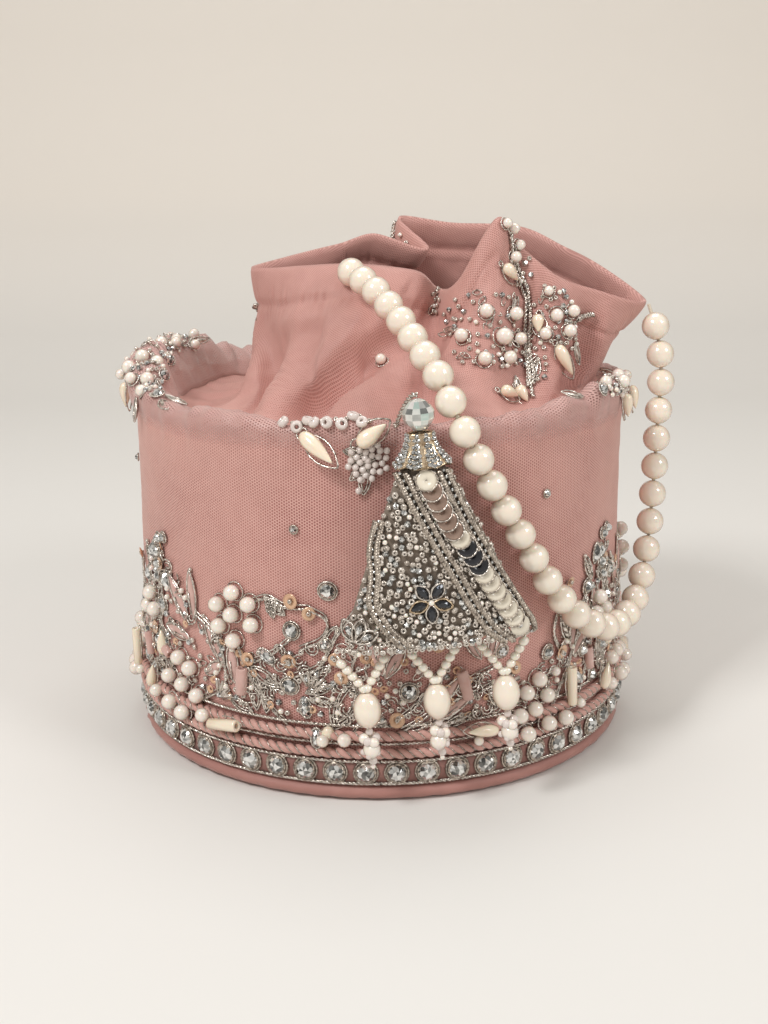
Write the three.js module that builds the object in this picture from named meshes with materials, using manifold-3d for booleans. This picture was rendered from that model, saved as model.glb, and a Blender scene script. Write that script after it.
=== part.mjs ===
// Round drawstring pouch: stiff covered wall, gathered collar, embroidered net,
// beaded tassel on the front and a swinging handle strung with large pearls.
// Millimetres, Z up, origin at the centre of the underside, front toward -Y.
import * as THREE from 'three';
import { mergeVertices } from 'three/addons/utils/BufferGeometryUtils.js';
import Module from 'manifold-3d';

const wasm = await Module();
wasm.setup();

// Fit between neighbours that touch on the real pouch
const seatGap = 0.3;

// Wall and base
const wallRadius = 81;          // outside of the wall fabric
const rimHeight = 115;
const fabricThickness = 1;
const wallBoardThickness = 1.4;
const liningThickness = 1;
const baseFabricThickness = 1;
const baseBoardThickness = 3;
const baseRollHeight = 5;       // rolled edge of the base cover
const baseRollBulge = 2.2;      // how far the roll stands out past the wall
const netThickness = 0.7;
const rimSetback = 4.6;         // wall board and lining stop this far below the rim
const netTopSetback = 1.3;      // net on the wall stops this far below the rim

// Band of crystals and the two twisted ropes round the foot
const stoneCount = 56;
const stoneRadius = 3.9;
const stoneTableRadius = 2.3;
const stoneHeight = 2.6;
const ribbonWidth = 8.4;
const ribbonThickness = 1;
const ropeRadius = 1.7;
const upperRopeHeight = 22;

// Beads sewn on the net
const netPearlRadius = 2.8;
const netStoneRadius = 3.2;
const netStoneHeight = 1.8;
const leafLength = 11;
const leafWidth = 3.6;
const leafHeight = 1.3;
const leafFan = 32;             // angle between the leaves of a spray
const leafReach = 7;            // middle of a leaf from the root of its spray
const motifAzimuths = [-47, 33, 103, 173, 243];
const highClusterAzimuths = [-31.5, 118.5, 188.5, 258.5];
const rimTrimAzimuths = [-58, -8, 61];
const lowClusterHeight = 33;
const highClusterHeight = 56;

// Handle strand
const pearlDiameter = 9.1;
const pearlBore = 2.8;
const pearlCount = 33;
const threadDiameter = 1.1;
const threadSteps = 54;

// Tassel, hung just above the rim
const tasselAzimuth = 6.8;
const tasselLean = 4.5;         // the tassel leans a little to the right
const tasselStandoff = 8.6;     // hinge line out from the wall fabric
const tasselPivotHeight = 124.3;
const crystalRadius = 4.6;
const crystalBore = 1.6;
const capHeight = 9.5;
const capTopRadius = 3.7;
const capRimRadius = 8.2;
const capWall = 0.9;
const capFlatness = 0.7;        // depth of the cap as a share of its width
const padLength = 55;
const padTopWidth = 9;
const padWidth = 56;
const padThickness = 10;
const dropLegLength = 12;
const dropLegSpread = 13;
const seedRadius = 1.5;
const legNeck = 1;              // bare thread above the first seed pearl of a leg
const ovalWidth = 7.2;
const ovalLength = 10.5;
const tipLength = 15;
const dropOffsets = { left: -20.5, middle: 0, right: 20.5 };

// Line of the hem round the mouth, named by the wall azimuth below each point:
// azimuth in degrees from the front toward +X, then x, y and z
const hemLine = [
  [-90, -42, 0, 152.5], [-64, -33, -9, 153], [-46, -24, -14, 154.5], [-28, -12, -15, 155],
  [-10, 0, -16, 154], [4, 13, -16, 152.2], [14, 19.5, -5, 146], [23, 25, -26, 150],
  [32, 37.5, -28, 169.5], [41, 45, -23, 160.5], [54, 56, -28, 151.5], [70, 70, -23, 146],
  [91, 88, -8, 141], [112, 76.5, 14, 151], [128, 66, 27, 156.5], [144, 51, 37, 163],
  [164, 26, 40, 164.5], [178, 7, 36, 167], [195, 15, 19, 158], [210, -2, 20, 162.5],
  [224, -14, 17, 159], [246, -31, 11, 155],
];
// The collar runs in and down from the rim toward a neck, a tilted circle, and turns
// up from there to the hem
const neckRadius = 45;
const neckHeight = 98;
const neckShift = 15;           // how far the circle reaches further out on one side
const neckRise = 10;            // how much higher it is there
const neckAzimuth = 80;
const foldDepth = 1.6;
const foldCount = 12;
const foldSkew = 3.5;

// Chosen route of the handle thread between its two ends on the hem
const strandStart = { azimuth: -24, level: 1 };
const strandEnd = { azimuth: 90, level: 1 };
const strandRoute = [
  [-8.5, -22.5, 152.6], [-2, -36.5, 149.2], [5.8, -53, 142], [11.6, -67, 135],
  [17.4, -79.6, 127.4], [22.2, -86.8, 117.6], [31.6, -82.8, 98.5], [41, -77.4, 81.5],
  [50.4, -71.6, 65], [60, -63.8, 52.4], [70, -52.8, 44.6], [79.2, -38, 42.6],
  [86, -24.5, 47.5], [90.2, -15.5, 62], [92, -11.5, 80], [92.8, -10, 100], [93.2, -10, 119],
  [91.6, -9.6, 130.5],
];

const around = 60;              // facets round the cloth
const innerAround = 40;         // facets round hidden boards and lining
const rad = THREE.MathUtils.degToRad;

// Closed solid through rings of points. A loop joins its last ring to its first,
// and otherwise both ends are capped.
function loft(rings, loop = false) {
  const size = rings[0].length;
  const positions = rings.flat().flatMap((p) => [p.x, p.y, p.z]);
  const index = [];
  const spans = loop ? rings.length : rings.length - 1;
  for (let i = 0; i < spans; i++) {
    const low = i * size;
    const high = ((i + 1) % rings.length) * size;
    for (let j = 0; j < size; j++) {
      const k = (j + 1) % size;
      index.push(low + j, low + k, high + k, low + j, high + k, high + j);
    }
  }
  if (!loop) {
    const last = (rings.length - 1) * size;
    for (let j = 1; j < size - 1; j++) {
      index.push(0, j + 1, j, last, last + j, last + j + 1);
    }
  }
  const geometry = new THREE.BufferGeometry();
  geometry.setAttribute('position', new THREE.Float32BufferAttribute(positions, 3));
  geometry.setIndex(index);
  return faceOut(geometry);
}

// Turns every face over if the solid is inside out.
function faceOut(geometry) {
  const at = geometry.getAttribute('position');
  const index = geometry.getIndex().array;
  const a = new THREE.Vector3();
  const b = new THREE.Vector3();
  const c = new THREE.Vector3();
  let volume = 0;
  for (let i = 0; i < index.length; i += 3) {
    a.fromBufferAttribute(at, index[i]);
    b.fromBufferAttribute(at, index[i + 1]);
    c.fromBufferAttribute(at, index[i + 2]);
    volume += a.dot(b.cross(c));
  }
  if (volume < 0) {
    for (let i = 0; i < index.length; i += 3) {
      [index[i], index[i + 1]] = [index[i + 1], index[i]];
    }
  }
  return geometry;
}

// Solid of revolution about Z from a profile of [radius, height] pairs. The profile
// closes on itself, or starts and ends on the axis.
function revolve(profile, segments) {
  const onAxis = profile[0][0] === 0;
  const points = (onAxis ? profile : [...profile, profile[0]])
    .map(([r, z]) => new THREE.Vector2(r, z));
  const geometry = new THREE.LatheGeometry(points, segments);
  geometry.rotateX(Math.PI / 2);
  return faceOut(weld(geometry));
}

function weld(geometry) {
  const bare = geometry.clone();
  bare.deleteAttribute('normal');
  bare.deleteAttribute('uv');
  return mergeVertices(bare, 1e-4);
}

function toSolid(geometry) {
  const welded = faceOut(weld(geometry));
  return new wasm.Manifold(new wasm.Mesh({
    numProp: 3,
    vertProperties: new Float32Array(welded.getAttribute('position').array),
    triVerts: new Uint32Array(welded.getIndex().array),
  }));
}

function joinAll(geometries) {
  let solid = toSolid(geometries[0]);
  for (const geometry of geometries.slice(1)) solid = solid.add(toSolid(geometry));
  const mesh = solid.getMesh();
  const geometry = new THREE.BufferGeometry();
  geometry.setAttribute('position', new THREE.BufferAttribute(mesh.vertProperties, 3));
  geometry.setIndex(new THREE.BufferAttribute(mesh.triVerts, 1));
  return geometry;
}

// Collar surface. Level 0 is the rim and 1 the hem.
const hemCurve = new THREE.CatmullRomCurve3(
  hemLine.map(([, x, y, z]) => new THREE.Vector3(x, y, z)), true, 'centripetal');

function hemPoint(azimuth) {
  const turned = THREE.MathUtils.euclideanModulo(azimuth - hemLine[0][0], 360) + hemLine[0][0];
  const stops = [...hemLine.map((point) => point[0]), hemLine[0][0] + 360];
  let i = 0;
  while (turned >= stops[i + 1]) i++;
  const share = (turned - stops[i]) / (stops[i + 1] - stops[i]);
  return hemCurve.getPoint((i + share) / hemLine.length);
}

function onCircle(azimuth, radius, z) {
  return new THREE.Vector3(radius * Math.sin(rad(azimuth)), -radius * Math.cos(rad(azimuth)), z);
}

function clothPoint(azimuth, level) {
  const rim = onCircle(azimuth, wallRadius, rimHeight);
  const hem = hemPoint(azimuth);
  const side = Math.cos(rad(azimuth - neckAzimuth));
  const neck = onCircle(azimuth, neckRadius + neckShift * side, neckHeight + neckRise * side);
  const point = new THREE.QuadraticBezierCurve3(rim, neck, hem).getPoint(level);
  const fold = foldDepth * Math.sin(Math.PI * level)
    * Math.cos(rad(azimuth) * foldCount + foldSkew * level);
  return point.add(onCircle(azimuth, 0.6 * fold, 0.8 * fold));
}

// Outward direction of the cloth, from its slope both ways
function clothNormal(azimuth, level) {
  const along = clothPoint(azimuth + 1, level).sub(clothPoint(azimuth - 1, level));
  const up = clothPoint(azimuth, Math.min(level + 0.02, 1))
    .sub(clothPoint(azimuth, Math.max(level - 0.02, 0)));
  return along.cross(up).normalize();
}

function clothSpot(azimuth, level, offset) {
  return clothPoint(azimuth, level).addScaledVector(clothNormal(azimuth, level), offset);
}

// Levels at which the collar has rows of points
const clothLevels = [0, 0.25, 0.5, 0.72, 0.88, 1];

// Boards, lining and base cover, one inside the other
const boardOuter = wallRadius - fabricThickness - seatGap;
const liningOuter = boardOuter - wallBoardThickness - seatGap;
const liningInner = liningOuter - liningThickness;
const boardFloor = baseFabricThickness + seatGap;
const boardTop = boardFloor + baseBoardThickness;
const liningFloor = boardTop + seatGap;
const innerTop = rimHeight - rimSetback;
const wallFoot = baseRollHeight + seatGap;
const wallTop = rimHeight - 2 * fabricThickness - seatGap;

const wallFabric = revolve([[wallRadius - fabricThickness, wallFoot], [wallRadius, wallFoot],
  [wallRadius, wallTop], [wallRadius - fabricThickness, wallTop]], around);
const baseBoard = revolve([[0, boardFloor], [boardOuter, boardFloor], [boardOuter, boardTop],
  [0, boardTop]], innerAround);
const wallBoard = revolve([[liningOuter + seatGap, liningFloor], [boardOuter, liningFloor],
  [boardOuter, innerTop], [liningOuter + seatGap, innerTop]], innerAround);
const liningBase = revolve([[0, liningFloor], [liningOuter, liningFloor],
  [liningOuter, liningFloor + liningThickness], [0, liningFloor + liningThickness]],
  innerAround);
const liningFoot = liningFloor + liningThickness + seatGap;
const lining = revolve([[liningInner, liningFoot], [liningOuter, liningFoot],
  [liningOuter, innerTop], [liningInner, innerTop]], innerAround);
const rollInner = boardOuter + seatGap;
const rollOuter = wallRadius + baseRollBulge;
const baseCover = revolve([[0, 0], [wallRadius, 0], [rollOuter, 0.35 * baseRollHeight],
  [rollOuter, 0.7 * baseRollHeight], [wallRadius, baseRollHeight], [rollInner, baseRollHeight],
  [rollInner, baseFabricThickness], [0, baseFabricThickness]], around);

// Crystal band: a ribbon with one flat side for each stone, and the stones set on it
const ribbonInner = (wallRadius + seatGap) / Math.cos(Math.PI / stoneCount);
const ribbonOuter = ribbonInner + ribbonThickness;
const ribbonLow = baseRollHeight + seatGap;
const ribbonHigh = ribbonLow + ribbonWidth;
const ribbonMiddle = (ribbonLow + ribbonHigh) / 2;
const ribbon = revolve([[ribbonInner, ribbonLow], [ribbonOuter, ribbonLow],
  [ribbonOuter, ribbonHigh], [ribbonInner, ribbonHigh]], stoneCount);
const ribbonFace = ribbonOuter * Math.cos(Math.PI / stoneCount);
const bandStones = Array.from({ length: stoneCount }, (_, i) => {
  const middle = 360 * (i + 0.5) / stoneCount;
  return placed(stud([[stoneRadius, 0], [stoneTableRadius, stoneHeight]], 6),
    onCircle(middle, ribbonFace, ribbonMiddle), onCircle(middle, 1, 0));
});
const stoneBand = joinAll([ribbon, ...bandStones]);

function ropeRing(height) {
  const centre = wallRadius + seatGap + ropeRadius;
  return revolve(Array.from({ length: 5 }, (_, i) => [
    centre + ropeRadius * Math.cos(2 * Math.PI * i / 5),
    height + ropeRadius * Math.sin(2 * Math.PI * i / 5),
  ]), around);
}
const lowerRopeHeight = ribbonHigh + seatGap + ropeRadius;

// A stud that stands up along Z from a base sunk a little into what carries it. The
// profile gives [radius, height] pairs from the foot up.
function stud(profile, sides) {
  const sunk = 0.3;
  const [footRadius] = profile[0];
  const [topRadius, topHeight] = profile[profile.length - 1];
  const top = topRadius > 0 ? [[0, topHeight]] : [];
  return revolve([[0, -sunk], [footRadius, -sunk], ...profile.slice(1), ...top], sides);
}

// Stands a geometry on the point: its Z along the normal, its Y up the wall, turned
// about the normal by the given angle.
function placed(geometry, point, normal, turn = 0) {
  const side = new THREE.Vector3(0, 0, 1).cross(normal).normalize();
  const basis = new THREE.Matrix4().makeBasis(side, normal.clone().cross(side), normal);
  geometry.rotateZ(rad(turn));
  return geometry.applyMatrix4(basis.setPosition(point));
}

// Shapes of the sewn beads
const makers = {
  pearl: () => stud([[netPearlRadius, 0], [0.78 * netPearlRadius, 0.62 * netPearlRadius],
    [0, netPearlRadius]], 5),
  stone: () => stud([[netStoneRadius, 0], [0.6 * netStoneRadius, netStoneHeight]], 6),
  leaf: () => stud([[1, 0], [0, 1]], 4).scale(leafWidth / 2, leafLength / 2, leafHeight),
};

// Net over the wall, with its clusters, leaf sprays and stones
const netFoot = upperRopeHeight + ropeRadius + seatGap;
const netTop = rimHeight - netTopSetback;
const netInner = wallRadius + seatGap;
const netSkin = revolve([[netInner, netFoot], [netInner + netThickness, netFoot],
  [netInner + netThickness, netTop], [netInner, netTop]], around);
const facetHalf = 180 / around;
const degreesPerMm = 180 / (Math.PI * wallRadius);

// A bead on the flat facet of the net at that azimuth and height
function wallBead(kind, azimuth, z, turn) {
  const facet = 2 * facetHalf * Math.floor(azimuth / (2 * facetHalf)) + facetHalf;
  const flat = (netInner + netThickness) * Math.cos(rad(facetHalf));
  const radius = flat / Math.cos(rad(azimuth - facet));
  return placed(makers[kind](), onCircle(azimuth, radius, z), onCircle(azimuth, 1, 0), turn);
}

function pearlCluster(azimuth, z) {
  const pitch = 2 * netPearlRadius;
  const ring = Array.from({ length: 6 }, (_, i) => wallBead('pearl',
    azimuth + pitch * Math.sin(Math.PI * i / 3) * degreesPerMm,
    z + pitch * Math.cos(Math.PI * i / 3)));
  return [wallBead('pearl', azimuth, z), ...ring];
}

function leafSpray(azimuth, z, petals) {
  return Array.from({ length: petals }, (_, i) => {
    const turn = leafFan * (i - (petals - 1) / 2);
    return wallBead('leaf', azimuth + leafReach * Math.sin(rad(turn)) * degreesPerMm,
      z + leafReach * Math.cos(rad(turn)), -turn);
  });
}

const wallBeads = motifAzimuths.flatMap((azimuth) => [
  ...pearlCluster(azimuth, lowClusterHeight),
  ...leafSpray(azimuth - 1, highClusterHeight - 8, 3),
  ...leafSpray(azimuth + 22, lowClusterHeight - 4, 3),
  ...leafSpray(azimuth + 41, lowClusterHeight - 2, 3),
  wallBead('stone', azimuth + 28.5, highClusterHeight - 2),
  wallBead('stone', azimuth + 28.5, lowClusterHeight + 2),
  wallBead('stone', azimuth + 36.5, highClusterHeight + 11),
]);
const highClusters = highClusterAzimuths.flatMap((azimuth) =>
  pearlCluster(azimuth, highClusterHeight));
const rimTrims = rimTrimAzimuths.flatMap((azimuth) => [
  wallBead('leaf', azimuth - 5, netTop - 7, 50),
  wallBead('stone', azimuth + 2, netTop - 12),
]);
const embroideredNet = joinAll([netSkin, ...wallBeads, ...highClusters, ...rimTrims]);

// Collar cloth up to the folded hem, with the beads sewn on it
const clothRing = (level, offset) => Array.from({ length: around },
  (_, i) => clothSpot(360 * i / around, level, offset));
const clothSheet = loft([
  ...clothLevels.map((level) => clothRing(level, 0)),
  ...clothLevels.slice().reverse().map((level) => clothRing(level, -fabricThickness)),
], true);

// A bead on the facet of the collar at that azimuth and level
function collarBead(kind, azimuth, level, turn) {
  const column = Math.floor(azimuth * around / 360);
  const row = clothLevels.findIndex((step) => step > level) - 1;
  const across = azimuth * around / 360 - column;
  const along = (level - clothLevels[row]) / (clothLevels[row + 1] - clothLevels[row]);
  const corner = (i, j) => clothSpot(360 * (column + i) / around, clothLevels[row + j], 0);
  const low = corner(0, 0).lerp(corner(1, 0), across);
  const high = corner(0, 1).lerp(corner(1, 1), across);
  const normal = corner(1, 0).sub(corner(0, 0)).cross(high.clone().sub(low)).normalize();
  return placed(makers[kind](), low.lerp(high, along), normal, turn);
}
const collarBeads = [
  ...rimTrimAzimuths.flatMap((azimuth) => [[azimuth + 1, 0.12], [azimuth - 4, 0.17]]),
  [22, 0.55], [27, 0.6], [32, 0.53], [27, 0.37], [33, 0.34], [47, 0.52], [52, 0.6],
].map(([azimuth, level]) => collarBead('pearl', azimuth, level));
const collar = joinAll([clothSheet, ...collarBeads,
  collarBead('leaf', 27, 0.75, 30), collarBead('leaf', 46, 0.34, -30)]);

// Handle thread and pearls
const anchorLift = threadDiameter / 2 + seatGap;
const strandAnchors = [strandStart, strandEnd].map(({ azimuth, level }) =>
  clothSpot(azimuth, level, anchorLift));
const strandCurve = new THREE.CatmullRomCurve3([
  strandAnchors[0], ...strandRoute.map((point) => new THREE.Vector3(...point)),
  strandAnchors[1]], false, 'centripetal');
strandCurve.arcLengthDivisions = 1200;
const strandLength = strandCurve.getLength();
const pearlPitch = pearlDiameter + seatGap;
const firstPearl = (strandLength - pearlPitch * (pearlCount - 1)) / 2;

const threadSection = new THREE.Shape(Array.from({ length: 8 }, (_, i) => new THREE.Vector2(
  threadDiameter / 2 * Math.cos(Math.PI * i / 4), threadDiameter / 2 * Math.sin(Math.PI * i / 4))));
const threadTube = new THREE.ExtrudeGeometry(threadSection,
  { steps: threadSteps, extrudePath: strandCurve, bevelEnabled: false });

function pearlBead(diameter, bore, segments) {
  const outer = diameter / 2;
  const start = Math.asin(bore / diameter);
  const profile = Array.from({ length: 5 }, (_, i) => {
    const angle = start + (Math.PI - 2 * start) * i / 4;
    return [outer * Math.sin(angle), -outer * Math.cos(angle)];
  });
  return revolve(profile, segments);
}

// Tassel, in a frame whose origin is the hinge and whose -Y points out from the wall
const crystal = pearlBead(2 * crystalRadius, crystalBore, 8);
crystal.translate(0, 0, -seatGap - crystalRadius);

const capTop = -2 * seatGap - 2 * crystalRadius + 0.1;
const capSides = 16;
function capRing(radius, z, scallop = 0) {
  return Array.from({ length: capSides }, (_, i) => {
    const angle = 2 * Math.PI * i / capSides;
    return new THREE.Vector3(radius * Math.cos(angle), capFlatness * radius * Math.sin(angle),
      z + scallop * (i % 2));
  });
}
const beadCap = loft([
  capRing(capTopRadius, capTop), capRing(0.72 * capRimRadius, capTop - 0.42 * capHeight),
  capRing(capRimRadius, capTop - capHeight, 1.2),
  capRing(capRimRadius - capWall, capTop - capHeight, 1.2),
  capRing(0.72 * capRimRadius - capWall, capTop - 0.42 * capHeight - capWall),
  capRing(capTopRadius - capWall, capTop - capWall),
]);

const padTop = capTop - 0.42 * capHeight - 2 * capWall - seatGap;
const padSides = 20;
const padDepth = -1.6;          // foot of the pad lies slightly out from the hinge line
function padSection(share) {
  return {
    halfWidth: THREE.MathUtils.lerp(padTopWidth, padWidth, share ** 0.9) / 2,
    halfThickness: padThickness / 2 * (0.55 + 0.45 * Math.sqrt(share)),
    depth: padDepth * Math.sqrt(share),
    z: padTop - share * padLength,
  };
}
function padRing(share) {
  const { halfWidth, halfThickness, depth, z } = padSection(share);
  return Array.from({ length: padSides }, (_, i) => {
    const angle = 2 * Math.PI * i / padSides;
    return new THREE.Vector3(halfWidth * Math.cos(angle),
      depth + halfThickness * Math.sin(angle), z);
  });
}
const padBody = loft([0, 0.25, 0.6, 0.93, 1].map(padRing));
const padBottom = padTop - padLength;

// Beads sewn on the front of the pad
function padSpot(across, share) {
  const { halfWidth, halfThickness, depth, z } = padSection(share);
  const rise = 0.96 * halfThickness * Math.sqrt(1 - across * across);
  return new THREE.Vector3(across * halfWidth, depth - rise, z);
}
function padBead(shape, across, share, turn = 0) {
  shape.rotateY(rad(turn));
  const spot = padSpot(across, share);
  shape.translate(spot.x, spot.y, spot.z);
  return shape;
}
const padChains = [0.05, 0.62].flatMap((lean) => Array.from({ length: 7 }, (_, i) => {
  const share = 0.2 + 0.115 * i;
  return padBead(new THREE.OctahedronGeometry(1.9), lean + 0.24 * share, share);
}));
const padDiscs = Array.from({ length: 8 }, (_, i) => {
  const share = 0.22 + 0.1 * i;
  const disc = new THREE.CylinderGeometry(2.7, 2.7, 2, 6);
  return padBead(disc, 0.3 + 0.3 * share, share);
});
const padFlower = Array.from({ length: 5 }, (_, i) => {
  const petal = new THREE.OctahedronGeometry(1).scale(1.9, 1.5, 3.4);
  petal.translate(0, 0, 4.2);
  petal.rotateY(2 * Math.PI * i / 5);
  return padBead(petal, -0.1, 0.72);
});
const tasselPad = joinAll([padBody, ...padChains, ...padDiscs, ...padFlower]);

// One drop: two short legs of seed pearls meeting in a V, an oval pearl and a beaded tip
const legSeeds = 4;
function seedString(from, to) {
  const length = from.distanceTo(to);
  const waist = 0.45 * seedRadius;
  const pitch = (length - legNeck) / legSeeds;
  const profile = [[0, 0], [waist, 0.1], [waist, legNeck]];
  for (let i = 0; i < legSeeds; i++) {
    profile.push([seedRadius, legNeck + pitch * (i + 0.5)]);
    if (i < legSeeds - 1) profile.push([waist, legNeck + pitch * (i + 1)]);
  }
  profile.push([0, length]);
  const string = revolve(profile, 6);
  const turn = new THREE.Quaternion().setFromUnitVectors(
    new THREE.Vector3(0, 0, 1), to.clone().sub(from).normalize());
  return string.applyQuaternion(turn).translate(from.x, from.y, from.z);
}
const dropPivotDrop = seatGap + 0.3;
const legTop = -0.2;
function dropParts() {
  const foot = new THREE.Vector3(0, 0, legTop - dropLegLength);
  const half = dropLegSpread / 2;
  const strands = joinAll([
    seedString(new THREE.Vector3(-half, 0, legTop), foot),
    seedString(new THREE.Vector3(half, 0, legTop), foot),
  ]);
  const ovalTop = foot.z - seatGap;
  const oval = new THREE.SphereGeometry(1, 8, 6);
  oval.rotateX(Math.PI / 2);
  oval.scale(ovalWidth / 2, ovalWidth / 2, ovalLength / 2);
  oval.translate(0, 0, ovalTop - ovalLength / 2);
  const tipTop = ovalTop - ovalLength - seatGap;
  const tip = revolve([[0, tipTop - tipLength], [1.4, tipTop - tipLength + 1.6],
    [0.8, tipTop - tipLength + 4], [1.8, tipTop - tipLength + 6.4],
    [1.4, tipTop - 5.6], [3, tipTop - 3], [0, tipTop]], 7);
  return { strands, pearl: faceOut(weld(oval)), tip };
}

// Assembly
const pink = { color: 0xc98f95, roughness: 0.55, metalness: 0 };
const rose = { color: 0xb87478, roughness: 0.8, metalness: 0 };
const card = { color: 0xb9a58c, roughness: 0.9, metalness: 0 };
const cream = { color: 0xf3e6d2, roughness: 0.25, metalness: 0 };
const crystalClear = { color: 0xdfe3e6, roughness: 0.05, metalness: 0.1 };
const gold = { color: 0xb79a63, roughness: 0.35, metalness: 0.9 };
const silver = { color: 0xb9b4ae, roughness: 0.45, metalness: 0.6 };

const pouch = new THREE.Group();
function addMesh(group, name, geometry, look) {
  const mesh = new THREE.Mesh(geometry, new THREE.MeshStandardMaterial(look));
  mesh.name = name;
  group.add(mesh);
  return mesh;
}

addMesh(pouch, 'base_cover', baseCover, pink);
addMesh(pouch, 'base_board', baseBoard, card);
addMesh(pouch, 'wall_board', wallBoard, card);
addMesh(pouch, 'lining_base', liningBase, pink);
addMesh(pouch, 'lining', lining, pink);
addMesh(pouch, 'wall_fabric', wallFabric, pink);
addMesh(pouch, 'collar', collar, pink);
addMesh(pouch, 'embroidered_net', embroideredNet, rose);
addMesh(pouch, 'stone_band', stoneBand, crystalClear);
addMesh(pouch, 'lower_rope', ropeRing(lowerRopeHeight), rose);
addMesh(pouch, 'upper_rope', ropeRing(upperRopeHeight), rose);
addMesh(pouch, 'handle_thread', weld(threadTube), cream);
for (let i = 0; i < pearlCount; i++) {
  const u = (firstPearl + pearlPitch * i) / strandLength;
  const name = `handle_pearl_${String(i + 1).padStart(2, '0')}`;
  const mesh = addMesh(pouch, name, pearlBead(pearlDiameter, pearlBore, 8), cream);
  mesh.position.copy(strandCurve.getPointAt(u));
  mesh.quaternion.setFromUnitVectors(new THREE.Vector3(0, 0, 1), strandCurve.getTangentAt(u));
}

const tassel = new THREE.Group();
tassel.position.copy(onCircle(tasselAzimuth, wallRadius + tasselStandoff, tasselPivotHeight));
tassel.rotation.set(0, rad(-tasselLean), rad(tasselAzimuth), 'ZYX');
pouch.add(tassel);

// Hanger: a short cord from the cloth above the rim to the hinge of the tassel
const hangerRadius = 0.8;
const hangerFoot = clothSpot(tasselAzimuth - 3, 0.04, seatGap + hangerRadius);
const hangerPath = new THREE.QuadraticBezierCurve3(hangerFoot,
  tassel.position.clone().add(new THREE.Vector3(-1, 5, 1.5)),
  tassel.position.clone().add(new THREE.Vector3(0, 0.4, 0.6)));
const hangerSection = new THREE.Shape(Array.from({ length: 6 }, (_, i) => new THREE.Vector2(
  hangerRadius * Math.cos(Math.PI * i / 3), hangerRadius * Math.sin(Math.PI * i / 3))));
addMesh(pouch, 'tassel_hanger', weld(new THREE.ExtrudeGeometry(hangerSection,
  { steps: 5, extrudePath: hangerPath, bevelEnabled: false })), rose);

addMesh(tassel, 'crystal_bead', crystal, crystalClear);
addMesh(tassel, 'bead_cap', beadCap, gold);
addMesh(tassel, 'tassel_pad', tasselPad, silver);
for (const [side, offset] of Object.entries(dropOffsets)) {
  const parts = dropParts();
  const looks = { strands: cream, pearl: cream, tip: silver };
  for (const [piece, geometry] of Object.entries(parts)) {
    const mesh = addMesh(tassel, `drop_${side}_${piece}`, geometry, looks[piece]);
    mesh.position.set(offset, padDepth, padBottom - dropPivotDrop);
  }
}

export default pouch;
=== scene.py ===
# Round drawstring pouch: dusty rose satin under net, beaded foot, tassel and a pearl
# strand handle. Lengths are millimetres until a piece is made, in the model's frame.
import math

import bpy
import numpy as np
from mathutils import Matrix, Vector


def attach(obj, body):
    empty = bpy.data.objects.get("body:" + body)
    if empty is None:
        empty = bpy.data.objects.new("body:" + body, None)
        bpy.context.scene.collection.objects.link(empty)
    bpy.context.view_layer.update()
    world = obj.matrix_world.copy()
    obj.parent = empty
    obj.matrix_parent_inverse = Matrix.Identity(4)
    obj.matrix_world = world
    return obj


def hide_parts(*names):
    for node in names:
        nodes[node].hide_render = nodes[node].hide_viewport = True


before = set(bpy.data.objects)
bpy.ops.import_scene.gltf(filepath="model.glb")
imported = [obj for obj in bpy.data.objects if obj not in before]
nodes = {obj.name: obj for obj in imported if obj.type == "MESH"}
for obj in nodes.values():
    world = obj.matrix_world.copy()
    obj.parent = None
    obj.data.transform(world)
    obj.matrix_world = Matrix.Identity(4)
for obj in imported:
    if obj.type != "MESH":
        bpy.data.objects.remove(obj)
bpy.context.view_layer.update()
mm = 0.001
fullTurn = 2 * math.pi
dice = np.random.default_rng(12)

# Camera: place in metres, tilt and roll in degrees
camera = {"place": (0.00137, -0.4539, 0.1891), "tilt": 75.09, "roll": -0.43, "lens": 47.59}


def makeCamera(look):
    data = bpy.data.cameras.new("camera")
    data.lens = look["lens"]
    data.clip_start = 0.01
    eye = bpy.data.objects.new("camera", data)
    eye.matrix_world = (Matrix.Translation(look["place"])
                        @ Matrix.Rotation(math.radians(look["tilt"]), 4, "X")
                        @ Matrix.Rotation(math.radians(look["roll"]), 4, "Z"))
    bpy.context.scene.collection.objects.link(eye)
    bpy.context.scene.camera = eye


makeCamera(camera)
print("camera set")


# Finishes: small helpers for shader nodes
def newFinish(name, **sockets):
    finish = bpy.data.materials.new(name)
    finish.use_nodes = True
    shader = finish.node_tree.nodes["Principled BSDF"]
    for key, value in sockets.items():
        shader.inputs[key.replace("_", " ")].default_value = value
    return finish, finish.node_tree, shader


def addNode(tree, kind, settings=None, **inputs):
    node = tree.nodes.new("ShaderNode" + kind)
    for key, value in (settings or {}).items():
        setattr(node, key, value)
    for key, value in inputs.items():
        socket = node.inputs[int(key[1:])] if key[0] == "i" and key[1:].isdigit() \
            else node.inputs[key.replace("_", " ")]
        if isinstance(value, bpy.types.NodeSocket):
            tree.links.new(value, socket)
        else:
            socket.default_value = value
    return node


def maths(tree, operation, first, second=0.0, third=None):
    inputs = {"i0": first, "i1": second}
    if third is not None:
        inputs["i2"] = third
    return addNode(tree, "Math", {"operation": operation}, **inputs).outputs[0]


def ramp(tree, factor, stops):
    node = addNode(tree, "ValToRGB", Fac=factor)
    band = node.color_ramp
    while len(band.elements) < len(stops):
        band.elements.new(0.5)
    for element, (place, colour) in zip(band.elements, stops):
        element.position = place
        element.color = (*colour, 1)
    return node.outputs[0]


def rgb(red, green, blue):
    # Screen values 0 to 255, as the shader wants them
    return tuple(((v / 255 + 0.055) / 1.055) ** 2.4 if v > 10 else v / 255 / 12.92
                 for v in (red, green, blue))


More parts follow.
